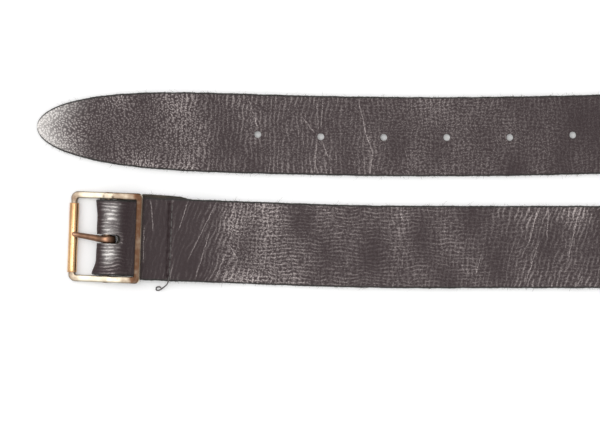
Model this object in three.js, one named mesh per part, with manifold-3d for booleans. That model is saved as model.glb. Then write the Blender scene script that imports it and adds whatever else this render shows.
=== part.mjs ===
// A man's leather belt with a roller buckle, laid on a table as a long hairpin.
// Both ends lie flat with the grain side up; the middle stands on its edge where the strap turns back.
// Millimetres, +Z up, table at z = 0, +X along the belt from its ends to the turn.
// The origin is under the middle of the whole belt, on the table.
import * as THREE from 'three';
import * as BufferGeometryUtils from 'three/addons/utils/BufferGeometryUtils.js';
import Module from 'manifold-3d';

const wasm = await Module();
wasm.setup();
const { degToRad, smoothstep, lerp } = THREE.MathUtils;

// ---- Driving dimensions of the strap ----
const waistSize = 864;          // centre bar to the middle hole, a 34 inch belt
const holeCount = 7;
const holePitch = 25.4;
const firstHoleFromTip = 89;
const holeDiameter = 2.8;
const strapWidth = 33.2;        // buckle end and middle
const pointTaper = 1.2;         // the punched end is cut this much narrower
const leather = 2.4;            // hide thickness
const pointLength = 75;         // the last stretch, over which the tip is rounded off
const turnBack = 33;            // tail under the strap, from the centre bar to its cut end
const tailShift = 1.8;          // how far the tail is sewn out of line, at the buckle
const tailShiftAtEnd = 0.9;
const layerGap = 0.15;          // air between the tail and the strap on it

// ---- Driving dimensions of the buckle ----
const squeeze = 2.3;            // the buckle's window is this much narrower than the strap
const sideBarWidth = 2.7;
const frameThickness = 2.2;
const leftReach = 14.1;         // centre bar to the roller's bar
const rightReach = 12.8;        // centre bar to the keeper bar over the strap
const keeperBarWidth = 2.4;
const rollerBarRadius = 1.3;
const leftCorner = 2.9;
const rightCorner = 2.0;
const edgeRound = 0.35;
const centreBarRadius = 1.65;
const tenonRadius = 1.0;        // the centre bar's ends, where they pass through the frame
const bossWall = 0.65;
const rollerWall = 0.4;
const rollerClearance = 0.2;    // roller on its bar, all round
const rollerPlay = 2.9;         // roller shorter than the window, so it slides a little
const rollerShift = -0.6;       // where it has slid to
const rollerSeam = 0.3;
const prongWidth = 3.2;         // where it loops round the centre bar
const prongLoopThickness = 1.5;
const prongTipRadius = 1.0;
const prongOvershoot = -0.6;    // past the roller's axis; below zero it stops short
const prongShift = -0.8;        // the loop has slid along the centre bar
const prongLean = 7.5;          // degrees, bent a little to one side in use
const leanStart = 1.5;          // from the centre bar
const shankWidth = 2.9;         // where the shank leaves the loop
const shankSwell = 0.5;         // the shank is thicker than the loop
const shankArch = 0.3;          // and bowed upwards
const slotSideRoom = 1.0;       // slot wider than the prong
const slotEndRoom = 1.6;        // slot longer than the prong's loop

// ---- Stitching ----
const threadRadius = 0.3;
const stitchPitch = 3.2;
const stitchMargin = 2.0;       // last stitch to the strap's edge
const stitchFromTail = 7.4;     // stitch row to the tail's cut end
const grooveDepth = 0.5;        // the thread is pulled into the grain side
const backGrooveDepth = 0.9;    // and further into the soft flesh side
const grooveWidth = 1.2;
const stitchHoleRadius = 0.55;

// ---- Clearances ----
const gap = 0.25;               // between pieces that touch
const seatGap = 0.45;           // strap to the middle of the keeper bar, which tilts
const neckGap = 0.4;            // strap edge to side bar, inside the buckle
const shoulderLength = 3;       // over which the strap widens, under the keeper bar

// ---- How the belt lies ----
const laneGap = 14.6;           // between the two flat runs
const tipLead = 27.0;           // the tip reaches past the centre bar
const hairpinLength = 480;      // strap between the two flat runs
const bendLength = 150;         // its turning stretch, half way round
const twistLength = 140;        // over which the strap rolls up onto its edge
const buckleSkew = 2.2;         // degrees, lower run at the buckle
const tipSkew = 2.0;            // degrees, upper run at the tip
const crown = 2.4;              // degrees, upper run where the hairpin ends
const skewHold = 65;            // the lower run is straight up to here
const skewEnd = 140;            // and has turned parallel to the table's edge by here
const bowLength = 240;          // over which the upper run bends from the crown to the tip's skew
const tailBeyond = 1;           // the strap stays level this far past the tail
const dropLength = 24;          // then slopes down to the table
const tipFullness = 2.6;        // the two powers that round the tip off
const tipBluntness = 0.465;
const bluntEnd = 0.8;           // width of the very tip

// ---- Worked out from the above ----
const strapLength = waistSize + ((holeCount - 1) / 2) * holePitch + firstHoleFromTip;
const lowerRun = (strapLength - hairpinLength - tipLead) / 2;
const hairpinEnd = lowerRun + hairpinLength;
const pointWidth = strapWidth - pointTaper;
const stackHeight = 2 * leather + layerGap;
const stitchRow = turnBack - stitchFromTail;
const innerWidth = strapWidth - squeeze;          // between the side bars
const rollerRadius = rollerBarRadius + rollerClearance + rollerWall;
const bossRadius = tenonRadius + gap + bossWall;
const slotWidth = prongWidth + slotSideRoom;
const slotBack = centreBarRadius + gap + prongLoopThickness + slotEndRoom;
// The bar stands high enough for the frame to rest on the strap at one end and on the table at the other.
const keeperHeight = stackHeight + seatGap + frameThickness / 2;
const barHeight = Math.max(
  leather + gap + centreBarRadius,
  (keeperHeight * leftReach + rollerRadius * rightReach) / (leftReach + rightReach)
);
const frameTilt = Math.asin((barHeight - rollerRadius) / leftReach);
const foldRadius = barHeight - leather / 2;       // the hide's middle layer, round the centre bar
const foldLength = Math.PI * foldRadius;
const shoulderEnd = rightReach + keeperBarWidth / 2;
const neckEnd = shoulderEnd - shoulderLength;     // the strap is narrow up to the keeper bar
const neckWidth = innerWidth - 2 * neckGap;
const dropStart = turnBack + tailBeyond;
const dropEnd = dropStart + dropLength;

// ---- Small helpers ----
function merged(geometry) {
  const bare = geometry.index ? geometry.clone() : geometry;
  bare.deleteAttribute('normal');
  bare.deleteAttribute('uv');
  return BufferGeometryUtils.mergeVertices(bare, 1e-4);
}

function toSolid(geometry) {
  const mesh = merged(geometry);
  return new wasm.Manifold(new wasm.Mesh({
    numProp: 3,
    vertProperties: mesh.attributes.position.array,
    triVerts: new Uint32Array(mesh.index.array),
  }));
}

function toGeometry(solid) {
  const { vertProperties, triVerts } = solid.getMesh();
  const geometry = new THREE.BufferGeometry();
  geometry.setAttribute('position', new THREE.BufferAttribute(vertProperties, 3));
  geometry.setIndex(new THREE.BufferAttribute(triVerts, 1));
  return geometry;
}

const addAll = (solids) => solids.reduce((sum, solid) => sum.add(solid));

function named(name, geometry, material) {
  const mesh = new THREE.Mesh(geometry, material);
  mesh.name = name;
  return mesh;
}

// A cylinder along Y, centred on (x, y, z).
function barAlongY(radius, length, x, y, z, sides = 20) {
  return new THREE.CylinderGeometry(radius, radius, length, sides).translate(x, y, z);
}

// A cylinder along Z from low to high.
function postAlongZ(radius, low, high, x, y, sides = 8) {
  return new THREE.CylinderGeometry(radius, radius, high - low, sides)
    .rotateX(Math.PI / 2)
    .translate(x, y, (low + high) / 2);
}

// Rings of equally many points, joined into a tube with both ends closed.
function loft(rings) {
  const sides = rings[0].length;
  const points = rings.flat().flatMap((p) => [p.x, p.y, p.z]);
  const faces = [];
  for (let r = 0; r + 1 < rings.length; r++) {
    for (let k = 0; k < sides; k++) {
      const a = r * sides + k;
      const b = r * sides + ((k + 1) % sides);
      faces.push(a, b, a + sides, b, b + sides, a + sides);
    }
  }
  const last = (rings.length - 1) * sides;
  for (let k = 1; k + 1 < sides; k++) {
    faces.push(0, k + 1, k, last, last + k, last + k + 1);
  }
  const geometry = new THREE.BufferGeometry();
  geometry.setAttribute('position', new THREE.Float32BufferAttribute(points, 3));
  geometry.setIndex(faces);
  return geometry;
}

const zAxis = new THREE.Vector3(0, 0, 1);

// ---- The strap's route ----
// s is the distance along the strap from the top of the fold; the tail has negative s.

function widthAt(s) {
  if (s < 0) return widthBeside(s > -foldLength ? 0 : -s - foldLength);
  const toTip = strapLength - s;
  const full = lerp(widthBeside(s), pointWidth, smoothstep(s, lowerRun, hairpinEnd));
  if (toTip >= pointLength) return full;
  const along = 1 - Math.max(toTip, 0) / pointLength;
  return Math.max(full * (1 - along ** tipFullness) ** tipBluntness, bluntEnd);
}

// The strap is cut narrow where it passes between the buckle's side bars.
function widthBeside(fromBar) {
  return lerp(neckWidth, strapWidth, smoothstep(fromBar, neckEnd, shoulderEnd));
}

function rollAt(s) {
  const up = smoothstep(s, lowerRun, lowerRun + twistLength);
  const down = smoothstep(s, hairpinEnd - twistLength, hairpinEnd);
  return (Math.PI / 2) * (up - down);
}

// Height of the hide's middle layer: over the bar, along the tail, then down to the table.
function heightAt(s) {
  const overBar = barHeight + foldRadius;
  const onTail = leather + layerGap + leather / 2;
  let flat = lerp(overBar, onTail, smoothstep(s, 0, neckEnd));
  flat = lerp(flat, leather / 2, smoothstep(s, dropStart, dropEnd));
  const roll = rollAt(s);
  return flat + (widthAt(s) / 2) * Math.sin(roll) + (leather / 2) * (Math.cos(roll) - 1);
}

function headingAt(s, flare) {
  const turned = Math.PI + degToRad(crown);
  if (s < lowerRun) return -degToRad(buckleSkew) * (1 - smoothstep(s, skewHold, skewEnd));
  if (s > hairpinEnd) {
    return turned - degToRad(crown + tipSkew) * smoothstep(s, hairpinEnd, hairpinEnd + bowLength);
  }
  const middle = (lowerRun + hairpinEnd) / 2;
  const bend = smoothstep(s, middle - bendLength / 2, middle + bendLength / 2);
  const along = (s - lowerRun) / hairpinLength;
  return turned * bend - flare * Math.sin(2 * Math.PI * along);
}

const step = 0.5;

// Points of the hide's middle line, every step along s, from the centre bar to the tip.
function trace(flare) {
  const points = [];
  let x = 0;
  let y = 0;
  for (let s = 0; s <= strapLength + step; s += step) {
    const heading = headingAt(s, flare);
    const climb = (heightAt(s + step) - heightAt(s)) / step;
    const plan = Math.sqrt(Math.max(0, 1 - climb * climb));
    points.push({ x, y, z: heightAt(s), heading, climb, plan });
    x += Math.cos(heading) * plan * step;
    y += Math.sin(heading) * plan * step;
  }
  return points;
}

// The hairpin opens outwards by just the flare that brings its two ends to the lane spacing.
function solveFlare() {
  let low = -1;
  let high = 2;
  for (let i = 0; i < 30; i++) {
    const flare = (low + high) / 2;
    const route = trace(flare);
    const spacing = route[Math.round(hairpinEnd / step)].y - route[Math.round(lowerRun / step)].y;
    if (spacing > strapWidth + laneGap) low = flare;
    else high = flare;
  }
  return (low + high) / 2;
}

const route = trace(solveFlare());

// Position and directions at s: along the strap, across it, and out of the grain side.
function frameAt(s) {
  if (s < 0) return foldFrameAt(s);
  const at = Math.min(s / step, route.length - 2);
  const i = Math.floor(at);
  const [a, b] = [route[i], route[i + 1]];
  const t = at - i;
  const heading = lerp(a.heading, b.heading, t);
  const climb = lerp(a.climb, b.climb, t);
  const plan = lerp(a.plan, b.plan, t);
  const along = new THREE.Vector3(Math.cos(heading) * plan, Math.sin(heading) * plan, climb);
  const left = new THREE.Vector3(-Math.sin(heading), Math.cos(heading), 0);
  const up = new THREE.Vector3().crossVectors(along, left);
  const roll = rollAt(s);
  return {
    origin: new THREE.Vector3(lerp(a.x, b.x, t), lerp(a.y, b.y, t), lerp(a.z, b.z, t)),
    across: left.clone().multiplyScalar(Math.cos(roll)).addScaledVector(up, Math.sin(roll)),
    grain: up.clone().multiplyScalar(Math.cos(roll)).addScaledVector(left, -Math.sin(roll)),
  };
}

// The fold round the centre bar and the tail that lies flat under the strap.
function foldFrameAt(s) {
  const angle = Math.min(-s / foldRadius, Math.PI);
  const past = Math.max(-s - foldLength, 0);
  const shift = lerp(tailShift, tailShiftAtEnd, past / turnBack) * smoothstep(past, 0, neckEnd);
  return {
    origin: new THREE.Vector3(
      past - foldRadius * Math.sin(angle), shift, barHeight + foldRadius * Math.cos(angle)
    ).applyAxisAngle(zAxis, -degToRad(buckleSkew)),
    across: new THREE.Vector3(0, 1, 0).applyAxisAngle(zAxis, -degToRad(buckleSkew)),
    grain: new THREE.Vector3(-Math.sin(angle), 0, Math.cos(angle))
      .applyAxisAngle(zAxis, -degToRad(buckleSkew)),
  };
}

// Distances along the strap at which its section is laid out, closer together where it bends.
function stations() {
  const middle = (lowerRun + hairpinEnd) / 2;
  const list = [-foldLength - turnBack];
  const stretchTo = (end, steps) => {
    const start = list[list.length - 1];
    for (let i = 1; i <= steps; i++) list.push(lerp(start, end, i / steps));
  };
  stretchTo(-foldLength - shoulderEnd, 2);
  stretchTo(-foldLength - neckEnd, 3);
  stretchTo(-foldLength, 4);
  stretchTo(0, 14);
  stretchTo(neckEnd, 9);
  stretchTo(shoulderEnd, 3);
  stretchTo(dropStart, 2);
  stretchTo(dropEnd, 7);
  stretchTo(skewEnd, 6);
  stretchTo(lowerRun, 1);
  stretchTo(lowerRun + twistLength, 16);
  stretchTo(middle - bendLength / 2, 2);
  stretchTo(middle + bendLength / 2, 26);
  stretchTo(hairpinEnd - twistLength, 2);
  stretchTo(hairpinEnd, 16);
  stretchTo(strapLength - pointLength, 10);
  const tipSteps = 12;
  for (let i = tipSteps - 1; i >= 0; i--) list.push(strapLength - pointLength * (i / tipSteps) ** 2);
  return list;
}

// ---- Leather strap ----
// A flat blank, bent along the route, then punched for the prong, the stitches and the belt holes.
function bentBlank() {
  const list = stations();
  const blank = new THREE.BoxGeometry(1, 1, 1, list.length - 1, 2, 1);
  const position = blank.attributes.position;
  for (let i = 0; i < position.count; i++) {
    const s = list[Math.round((position.getX(i) + 0.5) * (list.length - 1))];
    const at = frameAt(s);
    const point = at.origin
      .addScaledVector(at.across, position.getY(i) * widthAt(s))
      .addScaledVector(at.grain, position.getZ(i) * leather);
    position.setXYZ(i, point.x, point.y, point.z);
  }
  return toSolid(blank);
}

function beltHoles() {
  return Array.from({ length: holeCount }, (_, i) => {
    const at = frameAt(strapLength - firstHoleFromTip - i * holePitch);
    return toSolid(postAlongZ(
      holeDiameter / 2, at.origin.z - leather, at.origin.z + leather, at.origin.x, at.origin.y, 14
    ));
  });
}

function prongSlot() {
  const front = -barHeight - 2;
  const half = slotWidth / 2;
  const outline = new THREE.Shape();
  outline.moveTo(front, -half);
  outline.lineTo(slotBack - half, -half);
  outline.absarc(slotBack - half, 0, half, -Math.PI / 2, Math.PI / 2, false);
  outline.lineTo(front, half);
  outline.closePath();
  const top = barHeight + foldRadius + leather;
  const slot = new THREE.ExtrudeGeometry(outline, { depth: top + 1, bevelEnabled: false, curveSegments: 8 });
  return toSolid(slot.translate(0, prongShift, -1).rotateZ(-degToRad(buckleSkew)));
}

const stitchSpan = strapWidth - 2 * stitchMargin;
const stitchCount = Math.floor(stitchSpan / stitchPitch) + 1;
const stitchY = Array.from({ length: stitchCount }, (_, i) => (i - (stitchCount - 1) / 2) * stitchPitch);
const seamLength = (stitchCount - 1) * stitchPitch;

function stitchHolesAndGrooves() {
  const holes = stitchY.map((y) => postAlongZ(stitchHoleRadius, -1, stackHeight + 1, stitchRow, y));
  const groove = (low, high) => new THREE.BoxGeometry(grooveWidth, seamLength + 2 * grooveWidth, high - low)
    .translate(stitchRow, 0, (low + high) / 2);
  const cutters = [
    ...holes,
    groove(stackHeight - grooveDepth, stackHeight + 1),
    groove(-1, backGrooveDepth),
  ];
  return cutters.map((cutter) => toSolid(cutter.rotateZ(-degToRad(buckleSkew))));
}

const strap = bentBlank().subtract(addAll([...beltHoles(), prongSlot(), ...stitchHolesAndGrooves()]));

// ---- Thread ----
// A lockstitch: the needle thread lies on the grain side, the bobbin thread on the flesh side,
// and both dip into every stitch hole.
const lockHeight = stackHeight / 2;
const needleHeight = stackHeight - grooveDepth + gap / 2 + threadRadius;
const bobbinHeight = backGrooveDepth - gap / 2 - threadRadius;

// The needle thread's cut end: over the strap's edge, down to the table and curled back in a small loop.
function looseEnd() {
  const edge = -strapWidth / 2;
  const loopHeight = leather / 2;
  const path = new THREE.CatmullRomCurve3([
    new THREE.Vector3(stitchRow, -seamLength / 2, needleHeight),
    new THREE.Vector3(stitchRow - 0.2, edge + 1.1, stackHeight + 0.6),
    new THREE.Vector3(stitchRow - 0.5, edge - 1, stackHeight - 0.1),
    new THREE.Vector3(stitchRow - 1.9, edge - 2.2, leather),
    new THREE.Vector3(stitchRow - 4.2, edge - 3.6, loopHeight),
    new THREE.Vector3(stitchRow - 4.9, edge - 2.6, loopHeight),
    new THREE.Vector3(stitchRow - 3.6, edge - 1.9, leather),
  ]);
  const section = new THREE.Shape().absarc(0, 0, threadRadius * 0.8, 0, 2 * Math.PI);
  return new THREE.ExtrudeGeometry(section, { steps: 22, extrudePath: path, curveSegments: 3 });
}

function threadLadder(height, postEnd) {
  const posts = stitchY.map((y) =>
    postAlongZ(threadRadius, Math.min(height, postEnd), Math.max(height, postEnd), stitchRow, y, 6));
  return [barAlongY(threadRadius, seamLength + 2 * threadRadius, stitchRow, 0, height, 8), ...posts];
}

const needleThread = addAll([...threadLadder(needleHeight, lockHeight + gap / 2), looseEnd()].map(toSolid));
const bobbinThread = addAll(threadLadder(bobbinHeight, lockHeight - gap / 2).map(toSolid));

// ---- Buckle frame ----
// A cast ring with rounded corners. One end bar is turned round for the roller,
// and a boss in each side bar takes an end of the centre bar.
function roundedRectangle(shape, left, right, half, cornerLeft, cornerRight) {
  shape.moveTo(left + cornerLeft, -half);
  shape.lineTo(right - cornerRight, -half);
  shape.absarc(right - cornerRight, -half + cornerRight, cornerRight, -Math.PI / 2, 0, false);
  shape.lineTo(right, half - cornerRight);
  shape.absarc(right - cornerRight, half - cornerRight, cornerRight, 0, Math.PI / 2, false);
  shape.lineTo(left + cornerLeft, half);
  shape.absarc(left + cornerLeft, half - cornerLeft, cornerLeft, Math.PI / 2, Math.PI, false);
  shape.lineTo(left, -half + cornerLeft);
  shape.absarc(left + cornerLeft, -half + cornerLeft, cornerLeft, Math.PI, Math.PI * 1.5, false);
  return shape;
}

function buckleFrame() {
  const halfInner = innerWidth / 2;
  const halfOuter = halfInner + sideBarWidth;
  const leftEnd = -leftReach - rollerBarRadius;
  const leftWindow = -leftReach + rollerBarRadius;
  const rightWindow = rightReach - keeperBarWidth / 2;
  const rightEnd = rightReach + keeperBarWidth / 2;
  const cornerInside = 0.6;
  const outline = roundedRectangle(
    new THREE.Shape(), leftEnd + edgeRound, rightEnd - edgeRound, halfOuter - edgeRound,
    leftCorner - edgeRound, rightCorner - edgeRound
  );
  outline.holes.push(roundedRectangle(
    new THREE.Path(), leftWindow - edgeRound, rightWindow + edgeRound, halfInner + edgeRound,
    cornerInside + edgeRound, cornerInside + edgeRound
  ));
  const ring = toSolid(new THREE.ExtrudeGeometry(outline, {
    depth: frameThickness - 2 * edgeRound, curveSegments: 5,
    bevelThickness: edgeRound, bevelSize: edgeRound, bevelSegments: 2,
  }).translate(0, 0, -frameThickness / 2 + edgeRound));
  const rollerSpan = new THREE.BoxGeometry(4 * rollerBarRadius, innerWidth, 4 * rollerBarRadius)
    .translate(-leftReach - 0.01, 0, 0);
  const rollerBar = barAlongY(rollerBarRadius, innerWidth + 1, -leftReach, 0, 0);
  const bosses = [-1, 1].map((side) =>
    toSolid(barAlongY(bossRadius, sideBarWidth, 0, side * (halfInner + sideBarWidth / 2), 0)));
  const bore = barAlongY(tenonRadius + gap, 2 * halfOuter + 2, 0, 0, 0, 16);
  return addAll([ring.subtract(toSolid(rollerSpan)), toSolid(rollerBar), ...bosses]).subtract(toSolid(bore));
}

// ---- Centre bar ----
// A turned bar; its thin ends pass through the bosses and are riveted over flush.
function centreBar() {
  const shoulder = innerWidth / 2 - gap;
  const end = innerWidth / 2 + sideBarWidth;
  const profile = [
    new THREE.Vector2(0, -end),
    new THREE.Vector2(tenonRadius, -end),
    new THREE.Vector2(tenonRadius, -shoulder),
    new THREE.Vector2(centreBarRadius, -shoulder),
    new THREE.Vector2(centreBarRadius, shoulder),
    new THREE.Vector2(tenonRadius, shoulder),
    new THREE.Vector2(tenonRadius, end),
    new THREE.Vector2(0, end),
  ];
  return new THREE.LatheGeometry(profile, 20);
}

// ---- Roller ----
// Sheet brass rolled into a tube, its seam left open a hair on the underside.
function roller() {
  const inner = rollerRadius - rollerWall;
  const opening = rollerSeam / 2 / rollerRadius;
  const section = new THREE.Shape();
  section.absarc(0, 0, rollerRadius, opening, 2 * Math.PI - opening, false);
  section.absarc(0, 0, inner, 2 * Math.PI - opening, opening, true);
  section.closePath();
  const length = innerWidth - rollerPlay;
  return new THREE.ExtrudeGeometry(section, { depth: length, bevelEnabled: false, curveSegments: 28 })
    .translate(0, 0, -length / 2)
    .rotateX(-Math.PI / 2)
    .rotateY(Math.PI / 2)
    .translate(-leftReach, rollerShift, 0);
}

// ---- Prong ----
// A cast prong, curled round the centre bar at its root and resting on the roller at its tip.
// It is drawn level, about the centre bar's axis.
function prong() {
  const sides = 12;
  const loopInner = centreBarRadius + gap;
  const loopMiddle = loopInner + prongLoopThickness / 2;
  const rollerX = -leftReach * Math.cos(frameTilt);
  const restHeight = 2 * rollerRadius - barHeight + gap + prongTipRadius;
  const tipX = rollerX - prongOvershoot;
  const lean = Math.tan(degToRad(prongLean));
  const ring = (x, z, angle, width, thickness) => {
    const normal = new THREE.Vector3(Math.cos(angle), 0, Math.sin(angle));
    const side = Math.max(0, -x - leanStart) * lean + prongShift;
    return Array.from({ length: sides }, (_, k) => {
      const turn = (2 * Math.PI * k) / sides;
      return new THREE.Vector3(x, side + (Math.sin(turn) * width) / 2, z)
        .addScaledVector(normal, (Math.cos(turn) * thickness) / 2);
    });
  };
  const rings = [];
  const loopSteps = 12;
  for (let i = 0; i <= loopSteps; i++) {
    const angle = degToRad(lerp(-150, 90, i / loopSteps));
    rings.push(ring(
      Math.cos(angle) * loopMiddle, Math.sin(angle) * loopMiddle, angle, prongWidth, prongLoopThickness
    ));
  }
  const slope = Math.atan2(restHeight - loopMiddle, -tipX);
  const shankSteps = 8;
  for (let i = 1; i <= shankSteps; i++) {
    const t = i / shankSteps;
    const x = tipX * t;
    const z = lerp(loopMiddle, restHeight, t ** 1.15) + shankArch * Math.sin(Math.PI * t);
    const width = lerp(shankWidth, 2 * prongTipRadius, t);
    const thick = lerp(prongLoopThickness + shankSwell * Math.min(1, 3 * t), 2 * prongTipRadius, t);
    rings.push(ring(x, z, Math.PI / 2 - slope * Math.min(1, 2 * t), width, thick));
  }
  for (const angle of [35, 65].map(degToRad)) {
    const width = 2 * prongTipRadius * Math.cos(angle);
    rings.push(ring(
      tipX - prongTipRadius * Math.sin(angle), restHeight, Math.PI / 2 - slope, width, width
    ));
  }
  return loft(rings);
}

// ---- Materials ----
const hide = new THREE.MeshStandardMaterial({ color: 0x4a4042, roughness: 0.5, metalness: 0 });
const sewing = new THREE.MeshStandardMaterial({ color: 0x1b1819, roughness: 0.8, metalness: 0 });
const castBrass = new THREE.MeshStandardMaterial({ color: 0xb98f62, roughness: 0.35, metalness: 1 });
const rolledBrass = new THREE.MeshStandardMaterial({ color: 0xc79a5c, roughness: 0.25, metalness: 1 });
const darkBrass = new THREE.MeshStandardMaterial({ color: 0x8a6248, roughness: 0.4, metalness: 1 });

// ---- Assembly ----
const stitching = new THREE.Group();
stitching.rotation.z = -degToRad(buckleSkew);
stitching.add(
  named('needle_thread', toGeometry(needleThread), sewing),
  named('bobbin_thread', toGeometry(bobbinThread), sewing)
);

const frame = new THREE.Group();
frame.rotation.y = -frameTilt;
frame.add(
  named('buckle_frame', toGeometry(buckleFrame()), castBrass),
  named('centre_bar', centreBar(), darkBrass),
  named('roller', roller(), rolledBrass)
);

const buckle = new THREE.Group();
buckle.position.z = barHeight;
buckle.rotation.z = -degToRad(buckleSkew);
buckle.add(frame, named('prong', prong(), darkBrass));

const belt = new THREE.Group();
belt.add(named('strap', toGeometry(strap), hide), stitching, buckle);

belt.updateMatrixWorld(true);
const bounds = new THREE.Box3().setFromObject(belt, true);
const centre = bounds.getCenter(new THREE.Vector3());
belt.position.set(-centre.x, -centre.y, -bounds.min.z);

const assembly = new THREE.Group();
assembly.add(belt);

export default assembly;
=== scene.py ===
"""A man's leather belt with a roller buckle. It lies on a table as a long hairpin: both ends flat with the
grain side up, and the middle on its edge where the strap turns back."""

import math

import bpy
import numpy as np
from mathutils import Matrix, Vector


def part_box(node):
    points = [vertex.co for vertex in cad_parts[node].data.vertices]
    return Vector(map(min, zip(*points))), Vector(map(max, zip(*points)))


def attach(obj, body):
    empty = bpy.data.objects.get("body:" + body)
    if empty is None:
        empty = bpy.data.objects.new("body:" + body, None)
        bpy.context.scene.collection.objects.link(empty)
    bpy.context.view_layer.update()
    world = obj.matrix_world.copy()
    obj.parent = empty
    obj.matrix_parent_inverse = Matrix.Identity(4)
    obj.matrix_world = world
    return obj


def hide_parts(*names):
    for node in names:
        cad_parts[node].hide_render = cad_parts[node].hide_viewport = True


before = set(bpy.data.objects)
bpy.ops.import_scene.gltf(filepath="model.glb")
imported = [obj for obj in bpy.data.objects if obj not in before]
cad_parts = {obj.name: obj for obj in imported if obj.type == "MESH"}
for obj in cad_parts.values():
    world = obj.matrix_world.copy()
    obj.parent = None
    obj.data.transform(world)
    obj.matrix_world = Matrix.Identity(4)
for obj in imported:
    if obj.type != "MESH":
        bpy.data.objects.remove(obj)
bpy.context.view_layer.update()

# ---- Leather strap: its shape ----
# One length of soft, oiled cowhide. The buckle end is turned back round the centre bar and sewn down,
# and the other end is cut to a long rounded point and punched with seven belt holes.
# Sizes are in millimetres, s is the distance along the strap from the top of the fold over the centre bar,
# and the tail under the strap has negative s.
MM = 0.001
waist_size = 864
hole_count = 7
hole_pitch = 25.4
first_hole_from_tip = 89
hole_radius = 1.4
strap_width = 33.2
point_width = 32.0
leather = 2.4
point_length = 75
turn_back = 33
layer_gap = 0.15
tail_shift = 1.8
tail_shift_at_end = 0.9
inner_width = 30.9
left_reach = 14.1
right_reach = 12.8
keeper_bar_width = 2.4
frame_thickness = 2.2
roller_radius = 1.9
centre_bar_radius = 1.65
seat_gap = 0.45
gap = 0.25
edge_clearance = 0.2
shoulder_length = 3
lane_gap = 14.6
tip_lead = 27.0
hairpin_length = 480
bend_length = 150
twist_length = 140
buckle_skew = math.radians(2.2)
tip_skew = math.radians(2.0)
crown = math.radians(2.4)
skew_hold = 65
skew_end = 140
bow_length = 240
drop_start = turn_back + 1
drop_end = drop_start + 24
tip_fullness = 2.6
tip_bluntness = 0.465
blunt_end = 0.8

strap_length = waist_size + (hole_count - 1) / 2 * hole_pitch + first_hole_from_tip
lower_run = (strap_length - hairpin_length - tip_lead) / 2
hairpin_end = lower_run + hairpin_length
stack_height = 2 * leather + layer_gap
keeper_height = stack_height + seat_gap + frame_thickness / 2
bar_height = max(
    leather + gap + centre_bar_radius,
    (keeper_height * left_reach + roller_radius * right_reach) / (left_reach + right_reach),
)
frame_tilt = math.asin((bar_height - roller_radius) / left_reach)
fold_radius = bar_height - leather / 2
fold_length = math.pi * fold_radius
shoulder_end = right_reach + keeper_bar_width / 2
neck_end = shoulder_end - shoulder_length
neck_width = inner_width - 2 * edge_clearance
tail_end = -fold_length - turn_back
total_length = strap_length - tail_end
stitch_row = 25.6

bar_low, bar_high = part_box("centre_bar")
foot = np.array([(bar_low.x + bar_high.x) / 2, (bar_low.y + bar_high.y) / 2, 0.0])


def placed(points):
    """Millimetres about the foot of the centre bar, turned into metres in the row frame."""
    return np.asarray(points) * MM + foot


def mix(a, b, t):
    """a where t is 0, b where t is 1, in proportion between."""
    return a + (b - a) * t


def smooth(x, low, high):
    """0 below low, 1 above high, and the cubic 3t^2 - 2t^3 between them."""
    t = np.clip((x - low) / (high - low), 0, 1)
    return t * t * (3 - 2 * t)


def hill(x):
    """1 where x is 0, falling away softly on both sides."""
    return np.exp(-(x**2))


def width_at(s):
    """Narrow between the buckle's side bars, full beyond them, and rounded off to a point at the tip."""
    from_bar = np.where(s < 0, np.maximum(-s - fold_length, 0), s)
    beside = mix(neck_width, strap_width, smooth(from_bar, neck_end, shoulder_end))
    full = mix(beside, point_width, smooth(s, lower_run, hairpin_end))
    along = np.clip((s - strap_length + point_length) / point_length, 0, 1)
    return np.maximum(full * (1 - along**tip_fullness) ** tip_bluntness, blunt_end)


def roll_at(s):
    """The strap rolls up onto its edge after the lower run and back down before the upper one."""
    up = smooth(s, lower_run, lower_run + twist_length)
    down = smooth(s, hairpin_end - twist_length, hairpin_end)
    return math.pi / 2 * (up - down)


def height_at(s):
    """Height of the hide's middle layer: over the bar, along the tail, then down to the table."""
    over_bar = bar_height + fold_radius
    on_tail = leather + layer_gap + leather / 2
    flat = mix(over_bar, on_tail, smooth(s, 0, neck_end))
    flat = mix(flat, leather / 2, smooth(s, drop_start, drop_end))
    roll = roll_at(s)
    return flat + width_at(s) / 2 * np.sin(roll) + leather / 2 * (np.cos(roll) - 1)


def heading_at(s, flare):
    """Direction in plan: slightly skewed runs, and a half turn between them that first opens outwards."""
    turned = math.pi + crown
    lower = -buckle_skew * (1 - smooth(s, skew_hold, skew_end))
    upper = turned - (crown + tip_skew) * smooth(s, hairpin_end, hairpin_end + bow_length)
    middle = (lower_run + hairpin_end) / 2
    bend = smooth(s, middle - bend_length / 2, middle + bend_length / 2)
    hairpin = turned * bend - flare * np.sin(2 * math.pi * (s - lower_run) / hairpin_length)
    return np.where(s < lower_run, lower, np.where(s > hairpin_end, upper, hairpin))


route_step = 0.5
route_s = np.arange(0, strap_length + 2 * route_step, route_step)


def trace(flare):
    """The middle line, found by adding up short steps in the heading's direction."""
    heading = heading_at(route_s, flare)
    z = height_at(route_s)
    climb = (height_at(route_s + route_step) - z) / route_step
    plan = np.sqrt(np.maximum(0, 1 - climb * climb))
    x = np.concatenate([[0], np.cumsum(np.cos(heading) * plan * route_step)[:-1]])
    y = np.concatenate([[0], np.cumsum(np.sin(heading) * plan * route_step)[:-1]])
    return x, y, z, heading, climb, plan


def solved_route():
    """The hairpin's flare is halved into the value that brings the two runs to the lane spacing."""
    low, high = -1.0, 2.0
    for _ in range(30):
        flare = (low + high) / 2
        y = trace(flare)[1]
        spacing = np.interp(hairpin_end, route_s, y) - np.interp(lower_run, route_s, y)
        if spacing > strap_width + lane_gap:
            low = flare
        else:
            high = flare
    return trace((low + high) / 2)


route = solved_route()


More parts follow.
